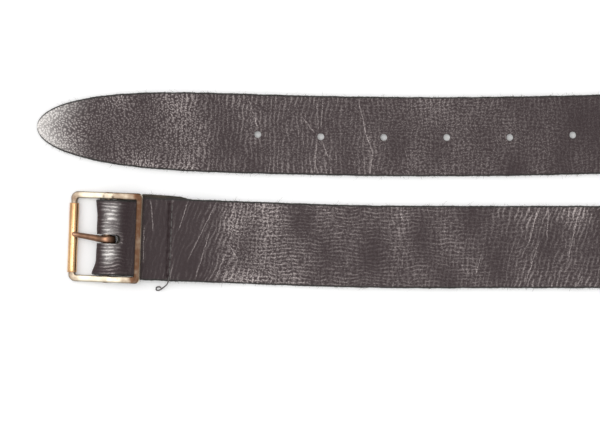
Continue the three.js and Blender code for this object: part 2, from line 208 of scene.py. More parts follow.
def skewed(points):
    """Turned about the vertical with the buckle end."""
    c, s = math.cos(-buckle_skew), math.sin(-buckle_skew)
    x, y, z = np.moveaxis(points, -1, 0)
    return np.stack([x * c - y * s, x * s + y * c, z], axis=-1)


def strap_frames(s):
    """Position of the hide's middle layer at each s, with the directions across and out of the grain side.
    Before s = 0 the strap goes round a circle about the centre bar and then back flat under itself."""
    x, y, z, heading, climb, plan = (np.interp(s, route_s, part) for part in route)
    none = np.zeros_like(s)
    along = np.stack([np.cos(heading) * plan, np.sin(heading) * plan, climb], axis=-1)
    left = np.stack([-np.sin(heading), np.cos(heading), none], axis=-1)
    up = np.cross(along, left)
    cos_roll = np.cos(roll_at(s))[..., None]
    sin_roll = np.sin(roll_at(s))[..., None]
    origin = np.stack([x, y, z], axis=-1)
    across = left * cos_roll + up * sin_roll
    grain = up * cos_roll - left * sin_roll

    angle = np.clip(-s / fold_radius, 0, math.pi)
    past = np.maximum(-s - fold_length, 0)
    shift = mix(tail_shift, tail_shift_at_end, past / turn_back) * smooth(past, 0, neck_end)
    fold_origin = np.stack(
        [past - fold_radius * np.sin(angle), shift, bar_height + fold_radius * np.cos(angle)], axis=-1
    )
    fold_grain = np.stack([-np.sin(angle), none, np.cos(angle)], axis=-1)
    fold_across = np.stack([none, none + 1, none], axis=-1)
    folded = (s < 0)[..., None]
    origin = np.where(folded, skewed(fold_origin), origin)
    across = np.where(folded, skewed(fold_across), across)
    grain = np.where(folded, skewed(fold_grain), grain)
    return origin, across, grain


# Rows of the grid: close together where the strap is folded, grooved, punched or seen, wider elsewhere.
row_pitch = 0.8
hole_rows = 32
groove_half = 0.9
slot_back = 5.0
slot_back_on_top = 5.3
seen_run = 206
hole_zone_start = strap_length - first_hole_from_tip - (hole_count - 0.5) * hole_pitch
hole_zone_end = strap_length - first_hole_from_tip + hole_pitch / 2
tip_zone = 6
tip_rows = 10
row_plan = (
    (-fold_length - stitch_row - groove_half, row_pitch),
    (-fold_length - stitch_row + groove_half, 0.3),
    (-fold_length - slot_back - 1.5, row_pitch),
    (-fold_length, 0.7),
    (0, 0.45),
    (slot_back_on_top + 1.5, 0.7),
    (stitch_row - groove_half, row_pitch),
    (stitch_row + groove_half, 0.3),
    (seen_run, row_pitch),
    (hole_zone_start, 1.9),
    (hole_zone_end, hole_pitch / hole_rows),
    (strap_length - tip_zone, row_pitch),
)
row_blocks = []
row_start = tail_end
for row_end, pitch in row_plan:
    count = max(1, round((row_end - row_start) / pitch))
    row_blocks.append(np.linspace(row_start, row_end, count, endpoint=False))
    row_start = row_end
row_blocks.append(strap_length - tip_zone * np.linspace(1, 0, tip_rows + 1) ** 2)
rows = np.concatenate(row_blocks)
columns = 41
side_points = 3
top_edge_round = 0.55
back_edge_round = 0.3

random = np.random.default_rng(7)


def ripples(s, v, wavelength, waves, stretch=1.0):
    """Soft undulation from -1 to 1 or so: plane waves of about that length, in random directions.
    A stretch above 1 draws them out across the strap, and one below 1 along it."""
    total = np.zeros(np.broadcast(s, v).shape)
    for _ in range(waves):
        direction = random.uniform(0, 2 * math.pi)
        length = wavelength * random.uniform(0.7, 1.5)
        phase = random.uniform(0, 2 * math.pi)
        turn = s * math.cos(direction) + v * math.sin(direction) / stretch
        total += np.sin(2 * math.pi * turn / length + phase)
    return total / math.sqrt(waves)


half_width = width_at(rows) / 2 - 0.9 * (1 - smooth(rows, tail_end, tail_end + 5))
side_round = np.minimum(top_edge_round, 0.35 * half_width)
edge_waver = 0.07 * ripples(rows, 0, 9, 5) * smooth(half_width, 3, 12)
share_across = np.linspace(-1, 1, columns)
grid_s = np.repeat(rows[:, None], columns, axis=1)
grid_v = share_across[None, :] * (half_width - side_round + edge_waver)[:, None]
solid_cells = np.ones((len(rows) - 1, columns - 1), bool)
openings = []


def open_hole(first_s, last_s, centre_v, radius, ring, reach):
    """Opens a round-ended slot in the grid, from first_s to last_s along it, or a round hole where they are equal.
    Points `ring` cells out go to the hole's edge; points further out are moved less, and none beyond `reach`."""
    first = int(np.argmin(abs(rows - first_s)))
    last = int(np.argmin(abs(rows - last_s)))
    column = int(np.argmin(abs(grid_v[first] - centre_v)))
    cell = abs(grid_v[first, column + 1] - grid_v[first, column])
    i = np.arange(len(rows))[:, None]
    j = np.arange(columns)[None, :]
    nearest = np.clip(i, first, last)
    cells = np.maximum(abs(i - nearest), abs(j - column))
    angle = np.arctan2(j - column, i - nearest)
    out = radius + (cells - ring) * cell
    pull = 1 - smooth(cells, ring, reach)
    centre_s = np.where(i > last, last_s, np.where(i < first, first_s, rows[nearest]))
    grid_s[:] = mix(grid_s, centre_s + out * np.cos(angle), pull)
    grid_v[:] = mix(grid_v, centre_v + out * np.sin(angle), pull)
    low_i, high_i, low_j, high_j = first - ring, last + ring, column - ring, column + ring
    solid_cells[low_i:high_i, low_j:high_j] = False
    there = np.arange(low_i, high_i)
    over = np.arange(low_j, high_j)
    loop_i = np.concatenate([there, np.full(len(over), high_i), there[::-1] + 1, np.full(len(over), low_i)])
    loop_j = np.concatenate([np.full(len(there), low_j), over, np.full(len(there), high_j), over[::-1] + 1])
    openings.append((loop_i, loop_j))


for number in range(hole_count):
    hole_s = strap_length - first_hole_from_tip - number * hole_pitch
    hole_v = random.uniform(-0.1, 0.5)
    open_hole(hole_s, hole_s, hole_v, hole_radius, ring=2, reach=6)
slot_half = 1.85
prong_shift = -0.8
slot_centre = prong_shift + 0.18
open_hole(
    -fold_length - slot_back + slot_half, slot_back_on_top - slot_half, slot_centre, slot_half, ring=3, reach=7
)

# Relief of the worn hide, in millimetres out of the grain side.
flat_part = smooth(grid_s, drop_end, drop_end + 30)
lift = flat_part * 0.16 * (1 + np.clip(ripples(grid_s, grid_v, 34, 7, stretch=1.6), -1, 1.5))
relief = 0.05 * ripples(grid_s, grid_v, 11, 8) + 0.022 * ripples(grid_s, grid_v, 4.2, 10, stretch=2.0)
seam_half = 14.6
stitch_pitch = 3.2
in_seam = 1 - smooth(abs(grid_v), seam_half, seam_half + 1.2)
groove = np.maximum(0, 1 - (abs(grid_s - stitch_row) / groove_half) ** 2) * 0.42
back_groove = np.maximum(0, 1 - (abs(grid_s + fold_length + stitch_row) / groove_half) ** 2) * 0.95
relief -= (groove + back_groove) * in_seam
first_stitch = seam_half - 0.2
from_hole_v = abs((grid_v + first_stitch + stitch_pitch / 2) % stitch_pitch - stitch_pitch / 2)
needle_holes = hill(np.hypot(grid_s - stitch_row, from_hole_v) / 0.6) * in_seam
relief -= 0.55 * needle_holes
relief -= 0.12 * hill((grid_s - stitch_row) / 2.4) * in_seam
slot_distance = np.hypot(np.maximum(grid_s - slot_back_on_top + slot_half, 0), grid_v - slot_centre)
pressed = hill((slot_distance - slot_half) / 1.6) * (abs(grid_s) < 12)
relief -= 0.18 * pressed
hole_s_all = strap_length - first_hole_from_tip - hole_pitch * np.arange(hole_count)
to_hole = np.min(np.hypot(grid_s[..., None] - hole_s_all, grid_v[..., None] - 0.2), axis=-1)
relief -= 0.16 * hill((to_hole - hole_radius) / 0.9)

# Single long creases, as (start s, start v), (end s, end v). Each stands up a little as a soft fold.
creases = (
    ((17.6, 16.5), (19.2, 2.5)),
    ((15.4, 6.5), (15.6, -10.5)),
    ((32.9, 16.5), (29.2, 3.5)),
    ((44.4, 17.0), (33.2, -8.5)),
    ((42.0, 5.0), (36.3, -16.6)),
    ((51.0, 16.6), (52.2, 8.0)),
    ((49.6, -0.5), (54.0, -8.0)),
    ((48.6, -4.5), (44.6, -15.0)),
    ((63.6, 16.6), (62.5, 11.5)),
    ((119.0, 16.6), (119.4, 9.8)),
    ((151.8, -2.0), (149.2, -11.5)),
    ((174.6, 16.6), (170.2, -0.5)),
    ((178.7, 16.6), (178.0, 2.5)),
    ((175.4, 4.2), (169.0, -15.8)),
    ((191.2, 16.6), (185.5, -9.5)),
    ((192.4, -11.0), (189.8, -16.5)),
)
# The same, measured back from the tip: (start, v), (end, v).
creases_from_tip = (
    ((112.4, -14.5), (113.4, -1.6)),
    ((115.0, -15.0), (114.4, -2.2)),
    ((106.8, -7.4), (111.9, -0.8)),
    ((115.0, 2.4), (117.6, 9.0)),
    ((112.8, 2.6), (112.2, 15.8)),
    ((129.0, -15.8), (132.2, -3.2)),
    ((131.0, -6.0), (136.0, 8.6)),
    ((135.6, 5.0), (134.2, 15.8)),
    ((84.8, -14.5), (89.2, -1.4)),
)
for (start, start_v), (end, end_v) in creases_from_tip:
    creases += (((strap_length - start, start_v), (strap_length - end, end_v)),)
for crease_start, crease_end in creases:
    run = np.subtract(crease_end, crease_start)
    from_start = np.stack([grid_s - crease_start[0], grid_v - crease_start[1]], axis=-1)
    travelled = np.clip(from_start @ run / (run @ run), 0, 1)
    miss = np.linalg.norm(from_start - travelled[..., None] * run, axis=-1)
    relief += 0.12 * hill(miss / 0.9) * np.minimum(1, 6 * travelled * (1 - travelled))

# The fold is pulled wider at its two edges than in the middle, most at the lower one.
fold_angle = np.clip(-grid_s / fold_radius, 0, math.pi)
flare = np.sin(fold_angle) * (1.5 * smooth(-grid_v, 8.5, 15.5) ** 1.3 + 0.75 * smooth(grid_v, 8, 15.5))

bevel = np.sqrt(0.5)
section_top = (grid_s, grid_v, leather / 2 + relief + lift)
section_back = (grid_s[:, ::-1], grid_v[:, ::-1], (lift - leather / 2)[:, ::-1])


def edge_points(side, column):
    """The three points that round the strap's cut edge, from the grain side to the flesh side."""
    ragged = 0.06 * ripples(rows, 0, 1.6, 6)[:, None] * np.array([0.4, 1.0, 0.7])
    fraction = (half_width / (strap_width / 2))[:, None]
    out_by = side_round[:, None] * np.array([bevel, 1.0, 1.0]) - back_edge_round * fraction * np.array(
        [0, 0, 1 - bevel]
    )
    down = np.array([top_edge_round * (1 - bevel), leather * 0.5, leather - back_edge_round * (1 - bevel)])
    s = np.repeat(rows[:, None], side_points, axis=1)
    v = grid_v[:, column][:, None] + side * (out_by + ragged)
    n = leather / 2 + (lift + relief * 0.5)[:, column][:, None] - down
    return s, v, n


far_edge = edge_points(1, columns - 1)
near_edge = tuple(part[:, ::-1] for part in edge_points(-1, 0))
section_s, section_v, section_n = (
    np.concatenate(parts, axis=1) for parts in zip(section_top, far_edge, section_back, near_edge)
)
loop = section_s.shape[1]
back_start = columns + side_points
last_back = back_start + columns - 1


def on_strap(s, v, n):
    """Points at s along the strap, v across it and n out of the hide's middle layer, in millimetres."""
    origin, across, grain = strap_frames(s)
    return origin + across * v[..., None] + grain * n[..., None]


strap_points = on_strap(section_s, section_v, section_n)
flare_at_edges = [np.repeat(flare[:, [column]], side_points, axis=1) for column in (-1, 0)]
section_flare = np.concatenate([flare, flare_at_edges[0], flare[:, ::-1], flare_at_edges[1]], axis=1)
outwards = skewed(np.array([-1.0, 0.0, 0.0]))
strap_points += section_flare[..., None] * outwards
strap_points[..., 2] = np.maximum(strap_points[..., 2], 0.0)


def build_mesh(name, points, blocks, slots=None):
    """A mesh from an array of points in metres and blocks of faces, each an array with one row per face.
    slots gives each block's material slot. Shading is smooth apart from edges sharper than 45 degrees."""
    mesh = bpy.data.meshes.new(name)
    corners = np.concatenate([np.asarray(block).ravel() for block in blocks]).astype(np.int32)
    sizes = np.concatenate([np.full(len(block), np.shape(block)[1]) for block in blocks]).astype(np.int32)
    starts = np.concatenate([[0], np.cumsum(sizes)[:-1]]).astype(np.int32)
    mesh.vertices.add(len(points))
    mesh.vertices.foreach_set("co", np.asarray(points, np.float32).ravel())
    mesh.loops.add(len(corners))
    mesh.loops.foreach_set("vertex_index", corners)
    mesh.polygons.add(len(sizes))
    mesh.polygons.foreach_set("loop_start", starts)
    mesh.polygons.foreach_set("loop_total", sizes)
    mesh.polygons.foreach_set("use_smooth", np.ones(len(sizes), bool))
    mesh.update(calc_edges=True)
    mesh.validate()
    if slots is not None:
        numbers = np.concatenate([np.full(len(block), slot) for block, slot in zip(blocks, slots)])
        mesh.polygons.foreach_set("material_index", numbers.astype(np.int32))
    mesh.set_sharp_from_angle(angle=math.radians(45))
    return mesh


def add_piece(mesh, materials, body, slot, *nodes):
    """Puts a mesh in the scene as a finished piece that rides on a body and stands for those nodes."""
    piece = bpy.data.objects.new(mesh.name, mesh)
    bpy.context.scene.collection.objects.link(piece)
    for material in materials:
        mesh.materials.append(material)
    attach(piece, body)
    if nodes:
        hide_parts(*nodes)


def store(mesh, name, values):
    """A number for every point of the mesh, for its material to read."""
    layer = mesh.attributes.new(name, "FLOAT", "POINT")
    layer.data.foreach_set("value", np.asarray(values, np.float32).ravel())


def tube_quads(count, ring, joined=False):
    """Four-cornered faces between neighbouring rings of a tube, one row of faces per pair of rings.
    A joined tube runs on from its last ring to its first."""
    i = np.arange(count if joined else count - 1)[:, None]
    k = np.arange(ring)[None, :]
    here, there = i * ring, (i + 1) % count * ring
    following = (k + 1) % ring
    return np.stack([here + k, there + k, there + following, here + following], axis=-1)


strap_quads = tube_quads(len(rows), loop)
grain_faces = strap_quads[:, : columns - 1][solid_cells]
flesh_faces = strap_quads[:, back_start:last_back][solid_cells[:, ::-1]]
edge_columns = np.r_[columns - 1 : back_start, last_back:loop]
edge_faces = strap_quads[:, edge_columns].reshape(-1, 4)
wall_faces = []
for loop_i, loop_j in openings:
    top = loop_i * loop + loop_j
    under = loop_i * loop + last_back - loop_j
    wall_faces.append(np.stack([top, np.roll(top, -1), np.roll(under, -1), under], axis=1))
wall_faces = np.concatenate(wall_faces)
cap_j = np.arange(columns - 1)
cap_quads = np.stack([cap_j, cap_j + 1, last_back - 1 - cap_j, last_back - cap_j], axis=1)
cap_sides = np.array([np.arange(columns - 1, back_start + 1), np.r_[last_back:loop, 0]])
last_row = (len(rows) - 1) * loop
cut_blocks = [cap_quads, cap_quads[:, ::-1] + last_row]
cut_side_blocks = [cap_sides, cap_sides[:, ::-1] + last_row]

strap_mesh = build_mesh(
    "strap_leather",
    placed(strap_points.reshape(-1, 3)),
    [grain_faces, flesh_faces, edge_faces, wall_faces, *cut_blocks, *cut_side_blocks],
    [0, 1, 2, 2, 2, 2, 2, 2],
)
store(strap_mesh, "skin_depth", 0.5 - section_n / leather)
from_edge = np.maximum(half_width[:, None] - abs(section_v), 0)
store(strap_mesh, "inset", from_edge)

# How strongly the hide is pebbled, creased across and creased along, how much its creases lean, and how pale it
# is, at places along it. The paleness is wear along most of the strap. About the fold it is painted light: a
# painted highlight on the crown, with painted shade on the slopes beside it. At the tip it is painted sheen. Then
# patches that are paler or darker than what is round them.
wear_and_light_by_place = np.array(
    [
        (tail_end, 0.4, 0.3, 0.2, 0.0, 0.05),
        (-fold_length, 0.3, 0.2, 0.3, 0.0, 0.05),
        # Painted light about the fold, up to s = 7: painted shade on the fold's slopes and a painted highlight on
        # its crown.
        (-2.0, 0.1, 0.0, 1.0, 0.0, 0.03),
        (0.0, 0.1, 0.0, 1.0, 0.0, 0.42),
        (2.4, 0.1, 0.0, 1.0, 0.0, 0.50),
        (5.0, 0.1, 0.05, 0.9, 0.0, 0.12),
        (7, 0.2, 0.1, 0.4, 0.1, 0.06),
        (14, 0.15, 0.6, 0.0, 0.1, 0.13),
        (30, 0.1, 0.6, 0.0, 0.3, 0.11),
        (44, 0.3, 0.9, 0.1, 0.35, 0.20),
        (52, 0.9, 0.9, 0.5, 0.15, 0.34),
        (64, 1.0, 0.8, 0.8, 0.0, 0.36),
        (74, 0.6, 0.35, 1.0, 0.0, 0.28),
        (112, 0.5, 0.35, 0.9, 0.0, 0.21),
        (118, 0.5, 0.7, 0.6, 0.0, 0.25),
        (126, 0.5, 0.4, 0.8, 0.0, 0.24),
        (150, 0.5, 0.6, 0.6, 0.1, 0.20),
        (168, 0.4, 1.0, 0.3, 0.3, 0.24),
        (202, 0.4, 1.0, 0.3, 0.3, 0.24),
        (400, 0.5, 0.6, 0.4, 0.0, 0.25),
        (strap_length - 227, 0.6, 0.55, 0.3, 0.0, 0.12),
        (strap_length - 165, 0.8, 0.5, 0.4, 0.0, 0.24),
        (strap_length - 139, 0.6, 0.5, 0.3, 0.0, 0.25),
        (strap_length - 114, 0.5, 0.8, 0.2, 0.0, 0.27),
        (strap_length - 76, 0.65, 1.0, 0.0, 0.0, 0.28),
        (strap_length - 55, 1.0, 0.6, 0.0, 0.0, 0.36),
        (strap_length - 28, 0.9, 0.3, 0.0, 0.0, 0.30),
        # The paleness of these last rows paints the tip's sheen.
        (strap_length - 13, 0.8, 0.1, 0.0, 0.0, 0.60),
        (strap_length - 8, 0.7, 0.0, 0.0, 0.0, 0.8),
        (strap_length - 3, 0.4, 0.0, 0.0, 0.0, 1.0),
    ]
)
wear_and_light = [np.interp(section_s, wear_and_light_by_place[:, 0], wear_and_light_by_place[:, column]) for column in range(1, 6)]
wear_and_light[1] = wear_and_light[1] * (0.65 + 0.9 * np.exp(-from_edge / 3.2))
patches = (
    (54, 8, 9, 6, 0.9),
    (54, -15, 17, 3, 0.7),
    (24, 4, 10, 14, -0.4),
    (120, 12, 4, 5, 0.6),
    (176, 12, 8, 5, 0.9),
    (192, 13, 8, 5, 1.1),
    (162, 2, 10, 8, -0.2),
    (100, -3, 14, 8, -0.25),
    (strap_length - 32, -12, 5, 4, 1.0),
    (strap_length - 21, -9, 4, 6, -0.45),
    (strap_length - 42, -13, 5, 6, -0.55),
    (strap_length - 25, 7, 7, 6, -0.35),
    (strap_length - 55, -7, 6, 6, 0.6),
    (strap_length - 56, 4, 8, 6, 0.35),
    (strap_length - 45, 14.5, 15, 2.5, 0.8),
    (strap_length - 79, 2, 7, 10, -0.3),
    (strap_length - 153, 10, 4, 6, 0.5),
    (strap_length - 172, -10, 9, 6, 0.4),
    (strap_length - 226, -8, 8, 12, -0.4),
)
pale = wear_and_light[4]
for patch_s, patch_v, length, breadth, amount in patches:
    pale = pale * (1 + amount * hill((section_s - patch_s) / length) * hill((section_v - patch_v) / breadth))

# A broken pale line beside the stitches, worn leather round the slot's end, and uneven wear all over.
seam_line_s = stitch_row + 1.25
seam_line_breaks = 0.4 + 0.6 * (ripples(section_s, section_v, 5, 5) > -0.2)
pale += 0.9 * hill((section_s - seam_line_s) / 0.35) * seam_line_breaks
from_slot = np.hypot(np.maximum(section_s - slot_back_on_top + slot_half, 0), section_v - slot_centre)
slot_rim = slot_half + 0.5
pale += 0.9 * hill((from_slot - slot_rim) / 0.5) * (section_s > 2.5) * (section_s < 8)
pale *= 1 + 0.3 * ripples(section_s, section_v, 16, 9, stretch=1.5)
store(strap_mesh, "pale", pale)

# Painted sheen, nearly white: a painted highlight on the tip, and on the crown of the fold between its two edges.
from_tip = strap_length - section_s - 0.42 * abs(section_v)
painted_sheen = 1.7 * np.exp(-((np.maximum(from_tip, 0) / 7.2) ** 1.5))
from_crown = section_s - 0.7
crown_reach = np.where(from_crown < 0, 1.4, 2.7)
on_crown = smooth(section_v, -12.5, -8.5) * (1 - smooth(section_v, 12, 15.5))
crown_highlight = 0.72 * on_crown * hill(from_crown / crown_reach)
painted_sheen += crown_highlight * (1 + 0.35 * ripples(section_s, section_v, 6, 6))
store(strap_mesh, "painted_sheen", painted_sheen)
pattern = strap_mesh.attributes.new("wear_pattern", "FLOAT_COLOR", "POINT")
pattern.data.foreach_set("color", np.stack(wear_and_light[:4], axis=-1).astype(np.float32).ravel())

corner_points = np.zeros(len(strap_mesh.loops), np.int32)
strap_mesh.loops.foreach_get("vertex_index", corner_points)
hide_map = strap_mesh.uv_layers.new(name="hide_map")
flat_place = np.stack([(section_s - tail_end) / total_length, 0.5 + section_v / total_length], axis=-1)
hide_map.data.foreach_set("uv", flat_place.reshape(-1, 2)[corner_points].astype(np.float32).ravel())


# ---- Leather strap: its finish ----
# Black-brown grain with a soft sheen, paler on its ridges and creases partly from wear and partly as painted
# glints, with a painted sheen on the tip and a painted highlight and painted shade about the fold's crown; a rough
# brown flesh side; and raw cut edges whose core was never dyed. The grain is pebbled, and creased across or along
# by how it was worn.


def fill_sockets(tree, node, inputs):
    """Sets a node's inputs by name or number, each to a value or to another node's output."""
    for name, value in inputs.items():
        if isinstance(value, bpy.types.NodeSocket):
            tree.links.new(value, node.inputs[name])
        else:
            node.inputs[name].default_value = value
    return node


def add_node(tree, kind, inputs=None, **settings):
    """Adds a node, with its settings and its inputs."""
    node = tree.nodes.new("ShaderNode" + kind)
    for name, value in settings.items():
        setattr(node, name, value)
    return fill_sockets(tree, node, inputs or {})


def math_node(tree, operation, a, b=0.0, c=0.0, use_clamp=False):
    """A sum, product or the like of up to three values."""
    return add_node(tree, "Math", {0: a, 1: b, 2: c}, operation=operation, use_clamp=use_clamp).outputs[0]


def times(tree, a, b):
    """One value times another."""
    return math_node(tree, "MULTIPLY", a, b)


def times_plus(tree, a, b, c):
    """a times b, plus c."""
    return math_node(tree, "MULTIPLY_ADD", a, b, c)


def vector_node(tree, operation, a, b=(0, 0, 0), output=0):
    """A vector's sum, product or the like with another."""
    return add_node(tree, "VectorMath", {0: a, 1: b}, operation=operation).outputs[output]


def ramp_value(tree, value, low, high, to_low=0.0, to_high=1.0):
    """Eases a value from one range to another, and holds it at the ends."""
    inputs = {"Value": value, "From Min": low, "From Max": high, "To Min": to_low, "To Max": to_high}
    return add_node(tree, "MapRange", inputs, interpolation_type="SMOOTHSTEP").outputs["Result"]


def noise(tree, place, scale, detail, roughness=0.5, output="Fac", dimensions="3D"):
    """Cloudy noise, about 0.5 on average."""
    inputs = {"Vector": place, "Scale": scale, "Detail": detail, "Roughness": roughness}
    return add_node(tree, "TexNoise", inputs, noise_dimensions=dimensions).outputs[output]


def stored(tree, name):
    """The number that the mesh holds under that name for each of its points."""
    return add_node(tree, "Attribute", attribute_name=name).outputs["Fac"]


def mix_colour(tree, share, a, b):
    """Mixes two colours."""
    a, b = (value if isinstance(value, bpy.types.NodeSocket) else (*value, 1) for value in (a, b))
    return add_node(tree, "Mix", {"Factor": share, 6: a, 7: b}, data_type="RGBA").outputs[2]


def new_group(name, inputs, outputs):
    """A shader group, as (tree, what it is given, what it gives). inputs are (name, socket type, default)
    and outputs are (name, socket type)."""
    tree = bpy.data.node_groups.new(name, "ShaderNodeTree")
    for title, kind, default in inputs:
        socket = tree.interface.new_socket(title, in_out="INPUT", socket_type="NodeSocket" + kind)
        if default is not None:
            socket.default_value = default
    for title, kind in outputs:
        tree.interface.new_socket(title, in_out="OUTPUT", socket_type="NodeSocket" + kind)
    return tree, tree.nodes.new("NodeGroupInput").outputs, tree.nodes.new("NodeGroupOutput").inputs


def place_group(tree, group, inputs):
    """Puts a group in a material with its own values."""
    node = tree.nodes.new("ShaderNodeGroup")
    node.node_tree = group
    return fill_sockets(tree, node, inputs)


def new_material(name):
    """A material with its own shader, as (material, node tree, shader)."""
    material = bpy.data.materials.new(name)
    material.use_nodes = True
    return material, material.node_tree, material.node_tree.nodes["Principled BSDF"]


def finish_material(tree, shader, colour, roughness, height):
    """Feeds the shader its colour, its roughness and a bump from a height in millimetres."""
    bump = add_node(tree, "Bump", {"Height": height, "Strength": 1.0, "Distance": MM})
    fill_sockets(tree, shader, {"Base Color": colour, "Roughness": roughness, "Normal": bump.outputs["Normal"]})


# A crease is a pale line, partly wear and partly a painted highlight along its ridge, strongest in the middle of
# its length and of its width.
crease_group, crease_in, crease_out = new_group(
    "hide_crease",
    [("Place", "Vector", None), ("Start", "Vector", None), ("End", "Vector", None), ("Width", "Float", 0.5)],
    [("Mask", "Float")],
)
crease_run = vector_node(crease_group, "SUBTRACT", crease_in["End"], crease_in["Start"])
crease_from = vector_node(crease_group, "SUBTRACT", crease_in["Place"], crease_in["Start"])
run_dot = vector_node(crease_group, "DOT_PRODUCT", crease_from, crease_run, output="Value")
run_square = vector_node(crease_group, "DOT_PRODUCT", crease_run, crease_run, output="Value")
crease_share = math_node(crease_group, "DIVIDE", run_dot, run_square, use_clamp=True)
nearest_point = add_node(
    crease_group, "VectorMath", {0: crease_run, "Scale": crease_share}, operation="SCALE"
).outputs[0]
crease_gap = vector_node(crease_group, "SUBTRACT", crease_from, nearest_point)
crease_miss = vector_node(crease_group, "LENGTH", crease_gap, output="Value")
crease_core = math_node(
    crease_group, "SUBTRACT", 1.0, math_node(crease_group, "DIVIDE", crease_miss, crease_in["Width"])
)
crease_taper = times(crease_group, crease_share, math_node(crease_group, "SUBTRACT", 1.0, crease_share))
crease_fade = ramp_value(crease_group, crease_taper, 0.0, 0.16)
crease_mask = times(crease_group, math_node(crease_group, "MAXIMUM", crease_core, 0.0), crease_fade)
crease_group.links.new(crease_mask, crease_out["Mask"])


def hide_place_in(tree, start=(0, 0, 0)):
    """Place on the flat hide in millimetres, from the hide's own map."""
    flat = add_node(tree, "UVMap", uv_map="hide_map").outputs["UV"]
    inputs = {"Vector": flat, "Location": start, "Scale": (total_length, total_length, total_length)}
    return add_node(tree, "Mapping", inputs).outputs["Vector"]


def shaken(tree, place, scale, reach):
    """A wandering shift to and fro along and across the hide, for warping a pattern."""
    wander = noise(tree, place, scale, 1.0, output="Color")
    centred = vector_node(tree, "SUBTRACT", wander, (0.5, 0.5, 0.5))
    return vector_node(tree, "MULTIPLY", centred, (reach, reach, 0))


def scaled(tree, s, v, length, width):
    """Place along and across the strap in units of that length and width."""
    along = math_node(tree, "DIVIDE", s, length)
    return add_node(tree, "CombineXYZ", {"X": along, "Y": math_node(tree, "DIVIDE", v, width)}).outputs["Vector"]


def wrinkles(tree, distance, spacing, broken):
    """Parallel crests that spacing apart, each 1 on top and 0 between, broken up by a noise."""
    turn = times(tree, distance, 2 * math.pi / spacing)
    crest = ramp_value(tree, math_node(tree, "SINE", turn), -0.25, 0.95)
    breaks = noise(tree, broken, 1.0, 2.0, 0.6, dimensions="2D")
    return times(tree, crest, ramp_value(tree, breaks, 0.38, 0.60, 0.12, 1.0))


hide_grain, tree, shader = new_material("hide_grain")
hide_place = hide_place_in(tree, (tail_end, -total_length / 2, 0))
slow_warp = shaken(tree, hide_place, 0.09, 4.5)
quick_warp = shaken(tree, hide_place, 0.42, 0.9)
warped = vector_node(tree, "ADD", hide_place, vector_node(tree, "ADD", slow_warp, quick_warp))
warped_s, warped_v, _ = add_node(tree, "SeparateXYZ", {"Vector": warped}).outputs

wear_pattern = add_node(tree, "Attribute", attribute_name="wear_pattern")
pebbled, crossed, drawn = add_node(tree, "SeparateColor", {"Color": wear_pattern.outputs["Color"]}).outputs
leaned_s = math_node(tree, "SUBTRACT", warped_s, times(tree, wear_pattern.outputs["Alpha"], warped_v))

pebble_place = scaled(tree, warped_s, warped_v, 0.95, 0.9)
pebble_texture = add_node(
    tree, "TexVoronoi", {"Vector": pebble_place, "Scale": 1.0, "Randomness": 0.95}, voronoi_dimensions="2D"
)
pebbles = times(tree, ramp_value(tree, pebble_texture.outputs["Distance"], 0.5, 0.08), pebbled)
cross_lines = times(tree, wrinkles(tree, leaned_s, 1.9, scaled(tree, warped_s, warped_v, 1.6, 4.0)), crossed)
along_lines = times(tree, wrinkles(tree, warped_v, 1.45, scaled(tree, warped_s, warped_v, 3.0, 1.3)), drawn)
fine = ramp_value(tree, noise(tree, hide_place, 2.6, 3.0, 0.7), 0.3, 0.7)
crests = math_node(tree, "ADD", math_node(tree, "ADD", pebbles, cross_lines), along_lines)
height = times_plus(tree, crests, 0.15, times(tree, fine, 0.08))

crease_place = vector_node(tree, "ADD", hide_place, quick_warp)
creased = None
for crease_start, crease_end in creases:
    ends = {"Start": (*crease_start, 0), "End": (*crease_end, 0)}
    line = place_group(tree, crease_group, {"Place": crease_place, **ends, "Width": 0.24}).outputs["Mask"]
    creased = line if creased is None else math_node(tree, "MAXIMUM", creased, line)

# Paler on the crests and creases, partly from wear and partly as painted glints; nearly white under the painted
# sheen; and dark along the cut edge.
glints = times(tree, crests, fine)
pale_wear_and_glints = times(tree, stored(tree, "pale"), times_plus(tree, glints, 1.75, 0.05))
broken_crease = times(tree, creased, ramp_value(tree, fine, 0.36, 0.62, 0.06, 1.0))
paleness = times_plus(tree, broken_crease, 0.75, pale_wear_and_glints)
hide_colour = mix_colour(tree, paleness, (0.0215, 0.0090, 0.0108), (0.56, 0.49, 0.475))
# Painted sheen: the painted highlight on the tip and the fold's crown, mixed in nearly white and broken up by the
# crests.
sheen_grain = times_plus(tree, crests, 0.9, times_plus(tree, fine, 0.35, 0.18))
painted_sheen_share = times(tree, stored(tree, "painted_sheen"), sheen_grain)
hide_colour = mix_colour(tree, painted_sheen_share, hide_colour, (0.80, 0.765, 0.735))
off_edge = ramp_value(tree, stored(tree, "inset"), 0.1, 1.1)
hide_colour = mix_colour(tree, off_edge, (0.018, 0.016, 0.014), hide_colour)
shader.inputs["Specular IOR Level"].default_value = 0.4
finish_material(tree, shader, hide_colour, times_plus(tree, fine, -0.12, 0.58), height)

hide_flesh, tree, shader = new_material("hide_flesh")
flesh_place = hide_place_in(tree)
flesh_nap = noise(tree, flesh_place, 1.4, 6.0, 0.7)
flesh_blotch = noise(tree, flesh_place, 0.12, 3.0)
flesh_share = times(tree, flesh_nap, times(tree, flesh_blotch, 2.2))
flesh_colour = mix_colour(tree, flesh_share, (0.016, 0.012, 0.010), (0.075, 0.056, 0.040))
flesh_roughness = ramp_value(tree, flesh_nap, 0.3, 0.7, 0.95, 0.85)
finish_material(tree, shader, flesh_colour, flesh_roughness, times(tree, flesh_nap, 0.3))

